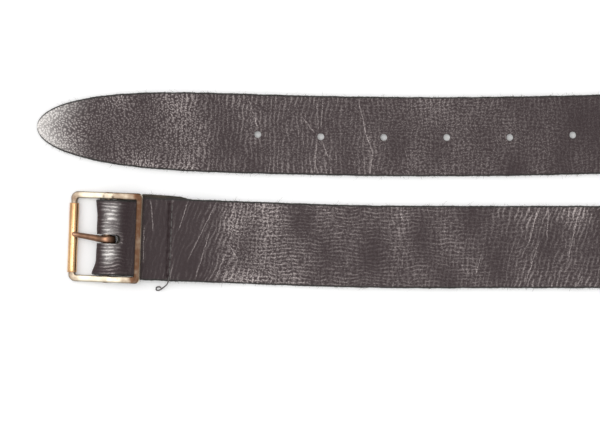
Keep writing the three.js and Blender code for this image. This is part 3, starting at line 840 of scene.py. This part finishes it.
hide_edge, tree, shader = new_material("hide_edge")
edge_place = add_node(tree, "TexCoord").outputs["Object"]
edge_fuzz = noise(tree, edge_place, 2600, 5.0, 0.7)
edge_blotch = ramp_value(tree, noise(tree, edge_place, 180, 3.0), 0.38, 0.62, 0.25, 1.0)
undyed = times(tree, ramp_value(tree, stored(tree, "skin_depth"), 0.12, 0.45), edge_blotch)
edge_colour = mix_colour(tree, edge_fuzz, (0.018, 0.015, 0.012), (0.10, 0.082, 0.052))
edge_colour = mix_colour(tree, undyed, (0.020, 0.018, 0.016), edge_colour)
edge_roughness = ramp_value(tree, edge_fuzz, 0.3, 0.7, 0.9, 0.8)
finish_material(tree, shader, edge_colour, edge_roughness, times(tree, edge_fuzz, 0.35))

add_piece(strap_mesh, [hide_grain, hide_flesh, hide_edge], "strap_body", "hide", "strap")

# ---- Loose fibres ----
# The raw edges have never been sealed, so short fibres of the hide stand out of them.
fibre_count = 2300
fibre_rings = 4
fibre_sides = 3
fibre_s = random.uniform(tail_end + 1, strap_length - 1, fibre_count)
fibre_side = random.choice([-1.0, 1.0], fibre_count)
fibre_n = random.uniform(-0.9, 0.7, fibre_count)
fibre_length = 0.25 + random.gamma(1.6, 0.28, fibre_count)
fibre_lean = random.normal(0, 0.8, fibre_count)
fibre_curl = random.normal(0, 0.7, fibre_count)
fibre_rise = random.normal(0.05, 0.35, fibre_count)
fibre_radius = random.uniform(0.03, 0.06, fibre_count)

share = np.linspace(0, 1, fibre_rings)[None, :]
along_fibre = fibre_length[:, None] * (fibre_lean[:, None] * share + fibre_curl[:, None] * share**2)
out_fibre = fibre_length[:, None] * share
line_s = fibre_s[:, None] + along_fibre
line_v = fibre_side[:, None] * (width_at(fibre_s)[:, None] / 2 - 0.12 + out_fibre)
line_n = fibre_n[:, None] + 0.16 + fibre_length[:, None] * fibre_rise[:, None] * share**1.5
turns = np.arange(fibre_sides) * 2 * math.pi / fibre_sides
thickness = fibre_radius[:, None] * np.array([1.0, 0.9, 0.7, 0.25])[None, :]
ring_s = line_s[..., None] + thickness[..., None] * np.cos(turns)
ring_n = line_n[..., None] + thickness[..., None] * np.sin(turns)
ring_v = np.repeat(line_v[..., None], fibre_sides, axis=-1)
fibre_points = on_strap(ring_s, ring_v, ring_n)
fibre_points[..., 2] += np.maximum(0.02 - fibre_points[..., 2].min(axis=-1, keepdims=True), 0)
one_fibre = tube_quads(fibre_rings, fibre_sides).reshape(-1, 4)
per_fibre = fibre_rings * fibre_sides
fibre_start = (np.arange(fibre_count) * per_fibre)[:, None, None]
flip = (fibre_side < 0)[:, None, None]
fibre_quads = fibre_start + np.where(flip, one_fibre[None, :, ::-1], one_fibre[None])
root = np.array([[0, 1, 2]])
point = np.array([[2, 1, 0]]) + (fibre_rings - 1) * fibre_sides
flipped_ends = np.concatenate([root[:, ::-1], point[:, ::-1]])
fibre_ends = fibre_start + np.where(flip, flipped_ends, np.concatenate([root, point]))
fibre_mesh = build_mesh(
    "edge_fibres",
    placed(fibre_points.reshape(-1, 3)),
    [fibre_quads.reshape(-1, 4), fibre_ends.reshape(-1, 3)],
)
store(fibre_mesh, "tone", np.repeat(random.uniform(0, 1, fibre_count), per_fibre))
fibre_hair, tree, shader = new_material("fibre_hair")
fibre_tone = stored(tree, "tone")
fibre_colour = mix_colour(tree, fibre_tone, (0.022, 0.019, 0.015), (0.115, 0.095, 0.062))
tree.links.new(fibre_colour, shader.inputs["Base Color"])
shader.inputs["Roughness"].default_value = 0.8
add_piece(fibre_mesh, [fibre_hair], "strap_body", "hide")

# ---- Stitching ----
# A row of lockstitch in waxed black thread, sewn right across the strap and its tail. The needle thread is
# pulled down into the grain, and its cut end hangs out at the lower edge in a small loop.
stitch_margin = 2.0
thread_radius = 0.3
stitch_count = int((strap_width - 2 * stitch_margin) / stitch_pitch) + 1
seam_length = (stitch_count - 1) * stitch_pitch


def thread_tube(name, path, radius, ply_turns):
    """A three-ply thread along a path: a circle carried along it, with three lobes that wind round."""
    path = np.asarray(path)
    ahead = np.gradient(path, axis=0)
    ahead /= np.linalg.norm(ahead, axis=1, keepdims=True)
    reference = np.array([0.12, 0.05, 1.0])
    side = np.cross(ahead, reference)
    side /= np.linalg.norm(side, axis=1, keepdims=True)
    up = np.cross(side, ahead)
    sides = 12
    angle = np.arange(sides) * 2 * math.pi / sides
    travelled = np.concatenate([[0], np.cumsum(np.linalg.norm(np.diff(path, axis=0), axis=1))])
    lobes = 1 + 0.2 * np.cos(3 * angle[None, :] - ply_turns * travelled[:, None])
    ends = np.clip(np.minimum(travelled, travelled[-1] - travelled) / radius, 0.25, 1)
    size = (radius * ends)[:, None] * lobes
    points = (
        path[:, None, :]
        + side[:, None, :] * (size * np.cos(angle))[..., None]
        - up[:, None, :] * (size * np.sin(angle))[..., None]
    )
    quads = tube_quads(len(path), sides).reshape(-1, 4)
    first = np.arange(sides)[None, :]
    last = first[:, ::-1] + (len(path) - 1) * sides
    return build_mesh(name, placed(skewed(points).reshape(-1, 3)), [quads[:, ::-1], first, last])


def through_points(points, per_span):
    """A smooth curve through points: each span is the cubic whose slope at a point follows its neighbours."""
    points = np.asarray(points, float)
    padded = np.concatenate([[2 * points[0] - points[1]], points, [2 * points[-1] - points[-2]]])
    t = np.linspace(0, 1, per_span, endpoint=False)[:, None]
    spans = []
    for before, start, end, after in zip(padded, padded[1:], padded[2:], padded[3:]):
        spans.append(
            0.5
            * (
                2 * start
                + (end - before) * t
                + (2 * before - 5 * start + 4 * end - after) * t**2
                + (3 * start - 3 * end + after - before) * t**3
            )
        )
    return np.concatenate([*spans, points[-1:]])


def stitched_line(height, dip):
    """The row of stitches: level between the holes, pulled by `dip` into each hole."""
    y = np.linspace(seam_length / 2, -seam_length / 2, 14 * (stitch_count - 1) + 1)
    to_next_hole = abs((y - seam_length / 2 + stitch_pitch / 2) % stitch_pitch - stitch_pitch / 2)
    z = height + dip * hill(to_next_hole / 0.42)
    return np.stack([np.full_like(y, stitch_row), y, z], axis=1)


edge_y = -strap_width / 2
needle_height = stack_height - 0.20
loose_end = through_points(
    [
        (stitch_row, -seam_length / 2, needle_height - 0.1),
        (stitch_row - 0.2, edge_y + 1.1, stack_height + 0.45),
        (stitch_row - 0.7, edge_y - 1.0, stack_height - 0.3),
        (stitch_row - 2.0, edge_y - 2.4, leather),
        (stitch_row - 3.7, edge_y - 3.7, leather / 2),
        (stitch_row - 5.0, edge_y - 4.0, leather / 2 - 0.3),
        (stitch_row - 5.3, edge_y - 3.0, leather / 2),
        (stitch_row - 4.2, edge_y - 2.5, leather / 2 + 0.4),
        (stitch_row - 3.2, edge_y - 2.9, leather + 0.1),
    ],
    7,
)
needle_path = np.concatenate([stitched_line(needle_height, -0.75), loose_end[1:]])
needle_mesh = thread_tube("needle_thread_sewn", needle_path, thread_radius * 0.85, 5.0)
bobbin_mesh = thread_tube("bobbin_thread_sewn", stitched_line(0.5, 0.7), thread_radius, 5.0)
waxed_thread, tree, shader = new_material("waxed_thread")
thread_place = add_node(tree, "TexCoord").outputs["Object"]
# Random wear on the thread, its pale flecks partly painted glints.
thread_wear_and_glints = noise(tree, thread_place, 2400, 3.0)
thread_colour = mix_colour(tree, thread_wear_and_glints, (0.008, 0.007, 0.007), (0.14, 0.125, 0.12))
thread_roughness = ramp_value(tree, thread_wear_and_glints, 0.3, 0.7, 0.45, 0.7)
finish_material(tree, shader, thread_colour, thread_roughness, times(tree, thread_wear_and_glints, 0.05))
add_piece(needle_mesh, [waxed_thread], "strap_body", "thread", "needle_thread")
add_piece(bobbin_mesh, [waxed_thread], "strap_body", "thread", "bobbin_thread")

# ---- Buckle frame ----
# A cast brass ring with rounded corners. Its left bar is turned round for the roller, and a boss in each side bar
# holds an end of the centre bar. The plating has gone; it is paler at the sides and darker brown at the keeper,
# with painted shade along the rounded edges of its faces and a painted highlight along the keeper's outer side.
side_bar_width = 2.7
roller_bar_radius = 1.3
left_corner = 2.9
right_corner = 2.0
inside_corner = 0.6
boss_radius = 1.9
corner_points_each = 14


def rounded_corners(left, right, half, left_radius, right_radius):
    """The four corners of a rounded rectangle, each an arc of points, going round from the lower right one."""
    quarter = np.linspace(0, math.pi / 2, corner_points_each)
    arcs = []
    for x, y, radius, start in (
        (right - right_radius, -half + right_radius, right_radius, -math.pi / 2),
        (right - right_radius, half - right_radius, right_radius, 0),
        (left + left_radius, half - left_radius, left_radius, math.pi / 2),
        (left + left_radius, -half + left_radius, left_radius, math.pi),
    ):
        arcs.append(np.stack([x + radius * np.cos(quarter + start), y + radius * np.sin(quarter + start)], axis=1))
    return arcs


def ring_outline(arcs, between):
    """Joins the corners with straight runs of evenly spaced points."""
    parts = []
    for arc, following, count in zip(arcs, arcs[1:] + arcs[:1], between):
        share = np.linspace(0, 1, count + 2)[1:-1, None]
        parts += [arc, mix(arc[-1], following[0], share)]
    return np.concatenate(parts)


half_inner = inner_width / 2
half_outer = half_inner + side_bar_width
points_between = (30, 84, 30, 84)
outer_line = ring_outline(
    rounded_corners(
        -left_reach - roller_bar_radius, right_reach + keeper_bar_width / 2, half_outer, left_corner, right_corner
    ),
    points_between,
)
inner_line = ring_outline(
    rounded_corners(
        -left_reach + roller_bar_radius,
        right_reach - keeper_bar_width / 2,
        half_inner,
        inside_corner,
        inside_corner,
    ),
    points_between,
)
ring_middle = (outer_line + inner_line) / 2
ring_out = outer_line - inner_line
ring_width = np.linalg.norm(ring_out, axis=1)
ring_out /= ring_width[:, None]
ring_x, ring_y = ring_middle.T
at_roller = smooth(-ring_x, left_reach - 2.4, left_reach - 0.3)
at_roller = at_roller * smooth(-abs(ring_y), -half_inner - 0.4, -half_inner + 1.2)
boss = np.sqrt(np.maximum(boss_radius**2 - ring_x**2, 0)) * (abs(ring_y) > half_inner - 1)
flat_half = mix(frame_thickness / 2, roller_bar_radius, at_roller) + 0.02 * ripples(ring_x, ring_y, 6, 5)
half_over = flat_half + 0.28 * hill(ring_x / 2.2) * (abs(ring_y) > half_inner - 1)
half_under = np.maximum(flat_half, boss)
half_wide = ring_width / 2
boss_bulge = 0.22 * np.exp(-((ring_x / 1.7) ** 4)) * (abs(ring_y) > half_inner - 1)
squareness = mix(4.6, 2.0, at_roller)
profile_points = 36
profile_angle = np.arange(profile_points) * 2 * math.pi / profile_points
cosine = np.cos(profile_angle)[None, :]
sine = np.sin(profile_angle)[None, :]
power = (2 / squareness)[:, None]
ring_p = (half_wide[:, None] + boss_bulge[:, None] * (cosine < 0)) * np.sign(cosine) * abs(cosine) ** power
ring_q = np.where(sine > 0, half_over[:, None], half_under[:, None]) * np.sign(sine) * abs(sine) ** power
frame_level = np.concatenate(
    [ring_middle[:, None, :] + ring_out[:, None, :] * ring_p[..., None], ring_q[..., None]], axis=-1
)


def beside_bar(points):
    """Points about the centre bar's axis, turned with the buckle end and lifted to the bar."""
    return placed(skewed(points) + np.array([0, 0, bar_height]))


def on_buckle(points):
    """Points drawn on the level buckle about its centre bar, tilted as the buckle rests."""
    x, y, z = np.moveaxis(points, -1, 0)
    c, s = math.cos(frame_tilt), math.sin(frame_tilt)
    return beside_bar(np.stack([x * c - z * s, y, x * s + z * c], axis=-1))


frame_quads = np.roll(tube_quads(len(ring_middle), profile_points, joined=True), -1, axis=-1).reshape(-1, 4)
frame_mesh = build_mesh("buckle_frame_cast", on_buckle(frame_level).reshape(-1, 3), [frame_quads])
level_x = frame_level[..., 0]
level_y = frame_level[..., 1]
on_far_bar = smooth(level_y, -2, 2)
pale_wear_and_highlight = 1 - (0.12 + 0.38 * on_far_bar) * smooth(level_x, -5, 3)
pale_wear_and_highlight -= (0.45 - 0.12 * on_far_bar) * smooth(level_x, 5, 11)
pale_wear_and_highlight *= 1 - 0.93 * smooth(level_x, right_reach - 3.2, right_reach - 1.6)
pale_wear_and_highlight *= 1 - 0.55 * smooth(-level_x, left_reach - 4, left_reach - 1)
# A painted highlight along the outer side face of the keeper bar, carried in the paleness.
painted_side_highlight = smooth(cosine, 0.6, 0.85) * smooth(level_x, right_reach, right_reach + 0.5)
# Painted shade along the rounded edges of the faces, except on the keeper's painted highlight and on the roller
# bar.
edge_painted_shade = smooth(abs(cosine), 0.62, 0.86) * (1 - painted_side_highlight) * (1 - at_roller[:, None])
store(frame_mesh, "pale_wear_and_highlight", pale_wear_and_highlight + 0.8 * painted_side_highlight)
dimple = np.minimum(
    np.hypot(level_x - 1.9, level_y - half_inner - 0.85), np.hypot(level_x + 1.9, level_y - half_inner - 1.0)
)
pits = hill(dimple / 0.4) * (ring_q > 0)
keeper_darkening = 0.28 * smooth(level_x, right_reach - 2.0, right_reach - 1.0) * (1 - painted_side_highlight)
# Darkened by the painted shade along the edges, by dirt in the two pits by the bosses, and more on the keeper bar.
store(frame_mesh, "grime_and_shade", 0.62 * edge_painted_shade + pits + keeper_darkening)

# Old brass: pale where its pale share is high and brown where it is low, with fine scratches and small dark pits,
# and dark where its grime-and-shade input is high. On the frame and the prong the pale share includes a painted
# highlight, and the grime-and-shade input includes painted shade.
brass_group, brass_in, brass_out = new_group(
    "old_brass",
    [
        ("Pale Colour", "Color", (0.86, 0.66, 0.42, 1)),
        ("Brown Colour", "Color", (0.38, 0.22, 0.12, 1)),
        ("Pale Share", "Float", 0.5),
        ("Mottle", "Float", 0.5),
        ("Shine", "Float", 0.3),
        ("Grime And Shade", "Float", 0.0),
    ],
    [("Colour", "Color"), ("Roughness", "Float"), ("Height", "Float")],
)
brass_place = add_node(brass_group, "TexCoord").outputs["Object"]
mottle = add_node(brass_group, "TexNoise", {"Vector": brass_place, "Scale": 420, "Detail": 5.0, "Roughness": 0.6})
slow_mottle = add_node(brass_group, "TexNoise", {"Vector": brass_place, "Scale": 130, "Detail": 2.0})
scratch_place = add_node(
    brass_group, "Mapping", {"Vector": brass_place, "Rotation": (0.3, 0.2, 0.5), "Scale": (260, 2600, 1200)}
).outputs["Vector"]
scratches = add_node(brass_group, "TexNoise", {"Vector": scratch_place, "Scale": 1.0, "Detail": 3.0})
pits = add_node(brass_group, "TexVoronoi", {"Vector": brass_place, "Scale": 620, "Randomness": 1.0})
pit_mask = ramp_value(brass_group, pits.outputs["Distance"], 0.20, 0.08)
pit_mask = times(brass_group, pit_mask, ramp_value(brass_group, mottle.outputs["Fac"], 0.5, 0.62))
varied = math_node(
    brass_group,
    "ADD",
    math_node(brass_group, "SUBTRACT", mottle.outputs["Fac"], 0.5),
    math_node(brass_group, "SUBTRACT", slow_mottle.outputs["Fac"], 0.5),
)
pale_share_here = add_node(
    brass_group,
    "Math",
    {
        0: times(brass_group, varied, brass_in["Mottle"]),
        1: brass_in["Pale Share"],
    },
    operation="ADD",
    use_clamp=True,
).outputs[0]
brass_colour = mix_colour(
    brass_group, pale_share_here, brass_in["Brown Colour"], brass_in["Pale Colour"]
)
soil_and_shade = add_node(
    brass_group,
    "Math",
    {0: times(brass_group, pit_mask, 0.7), 1: brass_in["Grime And Shade"]},
    operation="ADD",
    use_clamp=True,
).outputs[0]
brass_colour = mix_colour(brass_group, soil_and_shade, brass_colour, (0.045, 0.028, 0.018))
brass_roughness = math_node(
    brass_group,
    "ADD",
    brass_in["Shine"],
    ramp_value(brass_group, pale_share_here, 0.0, 1.0, 0.16, 0.0),
)
scratch_swing = math_node(brass_group, "SUBTRACT", scratches.outputs["Fac"], 0.5)
brass_roughness = times_plus(brass_group, scratch_swing, 0.14, brass_roughness)
brass_height = math_node(
    brass_group,
    "ADD",
    times(brass_group, scratches.outputs["Fac"], 0.006),
    times(brass_group, mottle.outputs["Fac"], 0.03),
)
brass_height = times_plus(brass_group, soil_and_shade, -0.04, brass_height)
brass_roughness = times_plus(brass_group, soil_and_shade, 0.3, brass_roughness)
brass_group.links.new(brass_colour, brass_out["Colour"])
brass_group.links.new(brass_roughness, brass_out["Roughness"])
brass_group.links.new(brass_height, brass_out["Height"])


def brass_material(name, pale_colour, brown_colour, mottle_amount, shine):
    """Old brass in a material of its own, ready for its mask of paleness, which may carry a painted highlight."""
    material, tree, shader = new_material(name)
    finish = place_group(
        tree,
        brass_group,
        {
            "Pale Colour": (*pale_colour, 1),
            "Brown Colour": (*brown_colour, 1),
            "Mottle": mottle_amount,
            "Shine": shine,
        },
    )
    shader.inputs["Metallic"].default_value = 1.0
    finish_material(
        tree, shader, finish.outputs["Colour"], finish.outputs["Roughness"], finish.outputs["Height"])
    return material, tree, finish


cast_brass, tree, finish = brass_material("cast_brass", (0.70, 0.63, 0.49), (0.17, 0.085, 0.048), 0.9, 0.36)
frame_pale_here = stored(tree, "pale_wear_and_highlight")
tree.links.new(frame_pale_here, finish.inputs["Pale Share"])
tree.links.new(stored(tree, "grime_and_shade"), finish.inputs["Grime And Shade"])
add_piece(frame_mesh, [cast_brass], "frame_body", "cast_brass", "buckle_frame")

# ---- Centre bar ----
# A turned brass bar across the middle of the buckle, inside the fold. Its thin ends pass through the
# bosses in the side bars and are hammered over into low domed heads.
tenon_radius = 1.0
head_radius = 1.4
head_height = 0.03
shoulder = half_inner - gap
bar_profile = np.array(
    [
        (0.0, -half_outer - head_height),
        (head_radius * 0.55, -half_outer - head_height * 0.85),
        (head_radius, -half_outer - 0.04),
        (head_radius * 0.95, -half_outer + 0.1),
        (tenon_radius, -half_outer + 0.3),
        (tenon_radius, -shoulder - 0.02),
        (centre_bar_radius - 0.15, -shoulder),
        (centre_bar_radius, -shoulder + 0.15),
        (centre_bar_radius, 0.0),
    ]
)
bar_profile = np.concatenate([bar_profile, (bar_profile * np.array([1, -1]))[-2::-1]])
bar_sides = 40
turn = np.arange(bar_sides) * 2 * math.pi / bar_sides


def turned(name, profile, place, sides_angle):
    """A lathed shape about the Y axis: each profile point (radius, y) is carried round the axis.
    The first and last points lie on the axis and close the ends."""
    radius, y = profile[1:-1].T
    points = np.stack(
        [
            radius[:, None] * np.cos(sides_angle),
            np.repeat(y[:, None], len(sides_angle), axis=1),
            radius[:, None] * np.sin(sides_angle),
        ],
        axis=-1,
    ).reshape(-1, 3)
    count = len(sides_angle)
    quads = tube_quads(len(radius), count).reshape(-1, 4)
    k = np.arange(count)
    following = (k + 1) % count
    last = (len(radius) - 1) * count
    poles = np.array([[0, profile[0, 1], 0], [0, profile[-1, 1], 0]])
    first_fan = np.stack([np.full(count, len(points)), k, following], axis=1)
    last_fan = np.stack([np.full(count, len(points) + 1), last + following, last + k], axis=1)
    return build_mesh(name, place(np.concatenate([points, poles])), [quads, first_fan, last_fan])


bar_mesh = turned("centre_bar_turned", bar_profile, on_buckle, turn)
bar_brass, tree, finish = brass_material("bar_brass", (0.45, 0.30, 0.19), (0.16, 0.09, 0.055), 1.0, 0.34)
finish.inputs["Pale Share"].default_value = 0.45
add_piece(bar_mesh, [bar_brass], "frame_body", "dark_brass", "centre_bar")

# ---- Roller ----
# Sheet brass rolled into a loose tube on the frame's left bar, so that the strap runs out easily. Its edges
# meet in a fine seam on the underside, and use has polished it brighter than the rest.
roller_wall = 0.4
roller_play = 2.9
roller_shift = -0.6
roller_seam = 0.3
roller_length = inner_width - roller_play
roller_points = 64
end_round = 0.16
opening = roller_seam / 2 / roller_radius
swing = np.linspace(opening, 2 * math.pi - opening, roller_points) - math.pi / 2
lengthwise = np.concatenate(
    [
        [-roller_length / 2, -roller_length / 2 + end_round * 0.3, -roller_length / 2 + end_round],
        np.linspace(-roller_length / 2 + 0.8, roller_length / 2 - 0.8, 36),
        [roller_length / 2 - end_round, roller_length / 2 - end_round * 0.3, roller_length / 2],
    ]
)
from_end = roller_length / 2 - abs(lengthwise)
turned_in = end_round * (1 - np.sqrt(np.clip(1 - (1 - np.clip(from_end / end_round, 0, 1)) ** 2, 0, 1)))
dents = 0.012 * ripples(lengthwise[:, None], swing[None, :] * roller_radius, 7, 8)
outside = roller_radius - turned_in[:, None] + dents
inside = np.full_like(outside, roller_radius - roller_wall)
section_radius = np.concatenate([outside, inside[:, ::-1]], axis=1)
section_angle = np.concatenate([swing, swing[::-1]])
roller_level = np.stack(
    [
        section_radius * np.cos(section_angle) - left_reach,
        np.repeat(lengthwise[:, None], 2 * roller_points, axis=1) + roller_shift,
        section_radius * np.sin(section_angle),
    ],
    axis=-1,
)
roller_loop = 2 * roller_points
roller_quads = tube_quads(len(lengthwise), roller_loop).reshape(-1, 4)
k = np.arange(roller_points - 1)
end_strip = np.stack([k, k + 1, roller_loop - 2 - k, roller_loop - 1 - k], axis=1)
far_strip = end_strip[:, ::-1] + (len(lengthwise) - 1) * roller_loop
roller_mesh = build_mesh(
    "roller_rolled", on_buckle(roller_level).reshape(-1, 3), [roller_quads, end_strip, far_strip]
)
roller_wear = hill((lengthwise[:, None] + 6) / 12) * np.ones_like(section_radius)
store(roller_mesh, "pale_wear_and_highlight", 0.55 + 0.25 * roller_wear)
rolled_brass, tree, finish = brass_material("rolled_brass", (0.72, 0.46, 0.235), (0.30, 0.125, 0.055), 0.5, 0.24)
tree.links.new(stored(tree, "pale_wear_and_highlight"), finish.inputs["Pale Share"])
add_piece(roller_mesh, [rolled_brass], "roller_body", "rolled_brass", "roller")

# ---- Prong ----
# A brass pin with a flat root curled round the centre bar. It comes up through the slot in the fold, leans a
# little to one side from use, and its rounded tip rests on the roller.
prong_width = 3.2
prong_loop = 1.5
prong_tip_radius = 1.0
prong_overshoot = -0.6
prong_lean = math.tan(math.radians(7.5))
lean_start = 1.5
shank_width = 2.9
shank_swell = 0.5
shank_arch = 0.3
loop_middle = centre_bar_radius + gap + prong_loop / 2
tip_x = -left_reach * math.cos(frame_tilt) - prong_overshoot
rest_height = 2 * roller_radius - bar_height + gap + prong_tip_radius
shank_slope = math.atan2(rest_height - loop_middle, -tip_x)
loop_angle = np.radians(np.linspace(-150, 90, 34))
shank_t = np.linspace(0, 1, 46)[1:]
cap_angle = np.radians([18, 36, 54, 70, 82])
centre_x = np.concatenate(
    [np.cos(loop_angle) * loop_middle, tip_x * shank_t, tip_x - prong_tip_radius * np.sin(cap_angle)]
)
centre_z = np.concatenate(
    [
        np.sin(loop_angle) * loop_middle,
        mix(loop_middle, rest_height, shank_t**1.15) + shank_arch * np.sin(math.pi * shank_t),
        np.full(len(cap_angle), rest_height),
    ]
)
facing = np.concatenate(
    [
        loop_angle,
        math.pi / 2 - shank_slope * np.minimum(1, 2 * shank_t),
        np.full(len(cap_angle), math.pi / 2 - shank_slope),
    ]
)
cap_size = 2 * prong_tip_radius * np.cos(cap_angle)
narrowing = mix(shank_width, 2 * prong_tip_radius, shank_t)
wide = np.concatenate([np.full(len(loop_angle), prong_width), narrowing, cap_size])
thick = np.concatenate(
    [
        mix(0.9, prong_loop, smooth(loop_angle, loop_angle[0], loop_angle[0] + 0.7)),
        mix(prong_loop + shank_swell * np.minimum(1, 3 * shank_t), 2 * prong_tip_radius, shank_t),
        cap_size,
    ]
)
wide = wide + 0.03 * ripples(np.arange(len(wide)), 0, 11, 4)
prong_squareness = np.concatenate(
    [np.full(len(loop_angle), 2.5), mix(2.5, 2.0, smooth(shank_t, 0, 0.25)), np.full(len(cap_angle), 2.0)]
)
prong_sides = 28
around = np.arange(prong_sides) * 2 * math.pi / prong_sides
prong_power = (2 / prong_squareness)[:, None]
sideways = np.sign(np.sin(around)) * abs(np.sin(around)) ** prong_power * wide[:, None] / 2
outward = np.sign(np.cos(around)) * abs(np.cos(around)) ** prong_power * thick[:, None] / 2
bent_side = np.maximum(0, -centre_x - lean_start) * prong_lean + prong_shift
prong_level = np.stack(
    [
        centre_x[:, None] + outward * np.cos(facing)[:, None],
        bent_side[:, None] + sideways,
        centre_z[:, None] + outward * np.sin(facing)[:, None],
    ],
    axis=-1,
)
prong_rings = len(centre_x)
prong_quads = tube_quads(prong_rings, prong_sides).reshape(-1, 4)[:, ::-1]
prong_root = np.arange(prong_sides)[None, ::-1]
prong_end = prong_root[:, ::-1] + (prong_rings - 1) * prong_sides
prong_mesh = build_mesh("prong_cast", beside_bar(prong_level).reshape(-1, 3), [prong_quads, prong_root, prong_end])
from_root = -prong_level[..., 0]
# Paler near the tip, and a painted highlight on the top of the loop by the root.
prong_pale_and_highlight = 0.30 + 0.6 * hill((from_root - 13.6) / 0.8) + 0.5 * hill((from_root - 0.6) / 0.8)
store(prong_mesh, "pale_wear_and_highlight", prong_pale_and_highlight)
# Darker in a patch of dirt on the shank near the root, and painted shade where the loop goes down into the slot.
store(prong_mesh, "grime_and_shade", 0.35 * np.exp(-(((from_root - 3.0) / 1.1) ** 4)) + 0.5 * smooth(from_root, -1.0, -2.2))
prong_brass, tree, finish = brass_material("prong_brass", (0.46, 0.27, 0.17), (0.085, 0.04, 0.026), 0.8, 0.30)
tree.links.new(stored(tree, "pale_wear_and_highlight"), finish.inputs["Pale Share"])
tree.links.new(stored(tree, "grime_and_shade"), finish.inputs["Grime And Shade"])
add_piece(prong_mesh, [prong_brass], "prong_body", "dark_brass", "prong")

# ---- Table, light and camera ----
# A plain white table, two broad soft lamps over the buckle end, and a camera looking straight down.
table_size = 8.0
table_mesh = bpy.data.meshes.new("table_top")
corner = table_size / 2
table_mesh.from_pydata(
    [(x * corner, y * corner, -0.0001) for x, y in ((-1, -1), (1, -1), (1, 1), (-1, 1))],
    [],
    [(0, 1, 2, 3)],
)
table_top = bpy.data.objects.new("table_top", table_mesh)
bpy.context.scene.collection.objects.link(table_top)
white_table, tree, shader = new_material("white_table")
shader.inputs["Base Color"].default_value = (0.93, 0.93, 0.93, 1)
shader.inputs["Roughness"].default_value = 0.9
table_mesh.materials.append(white_table)

world = bpy.data.worlds.new("studio")
bpy.context.scene.world = world
world.use_nodes = True
world.node_tree.nodes["Background"].inputs["Color"].default_value = (1.0, 1.0, 1.0, 1)
world.node_tree.nodes["Background"].inputs["Strength"].default_value = 0.78

view_centre = foot + np.array([77.5, 8.2, 0]) * MM
camera_height = 1.2
view_width = 242.2 * MM


def soft_lamp(name, offset, size, power):
    """A square lamp at an offset in metres from the view's centre, facing that centre."""
    data = bpy.data.lights.new(name, "AREA")
    data.shape = "SQUARE"
    data.size = size
    data.energy = power
    lamp = bpy.data.objects.new(name, data)
    bpy.context.scene.collection.objects.link(lamp)
    lamp.location = view_centre + np.array(offset)
    direction = -lamp.location + type(lamp.location)(view_centre)
    lamp.rotation_euler = direction.to_track_quat("-Z", "Y").to_euler()


soft_lamp("top_lamp", (-0.05, 0.05, 1.35), 0.7, 6.2)
soft_lamp("key_lamp", (-1.0, 0.25, 1.35), 1.1, 6.0)

camera_data = bpy.data.cameras.new("camera")
camera = bpy.data.objects.new("camera", camera_data)
bpy.context.scene.collection.objects.link(camera)
camera.location = view_centre + np.array([0, 0, camera_height])
camera_data.sensor_width = 36
camera_data.lens = camera_data.sensor_width * camera_height / view_width
camera_data.clip_start = 0.01
camera_data.clip_end = 10
bpy.context.scene.camera = camera
bpy.context.scene.view_settings.view_transform = "Standard"
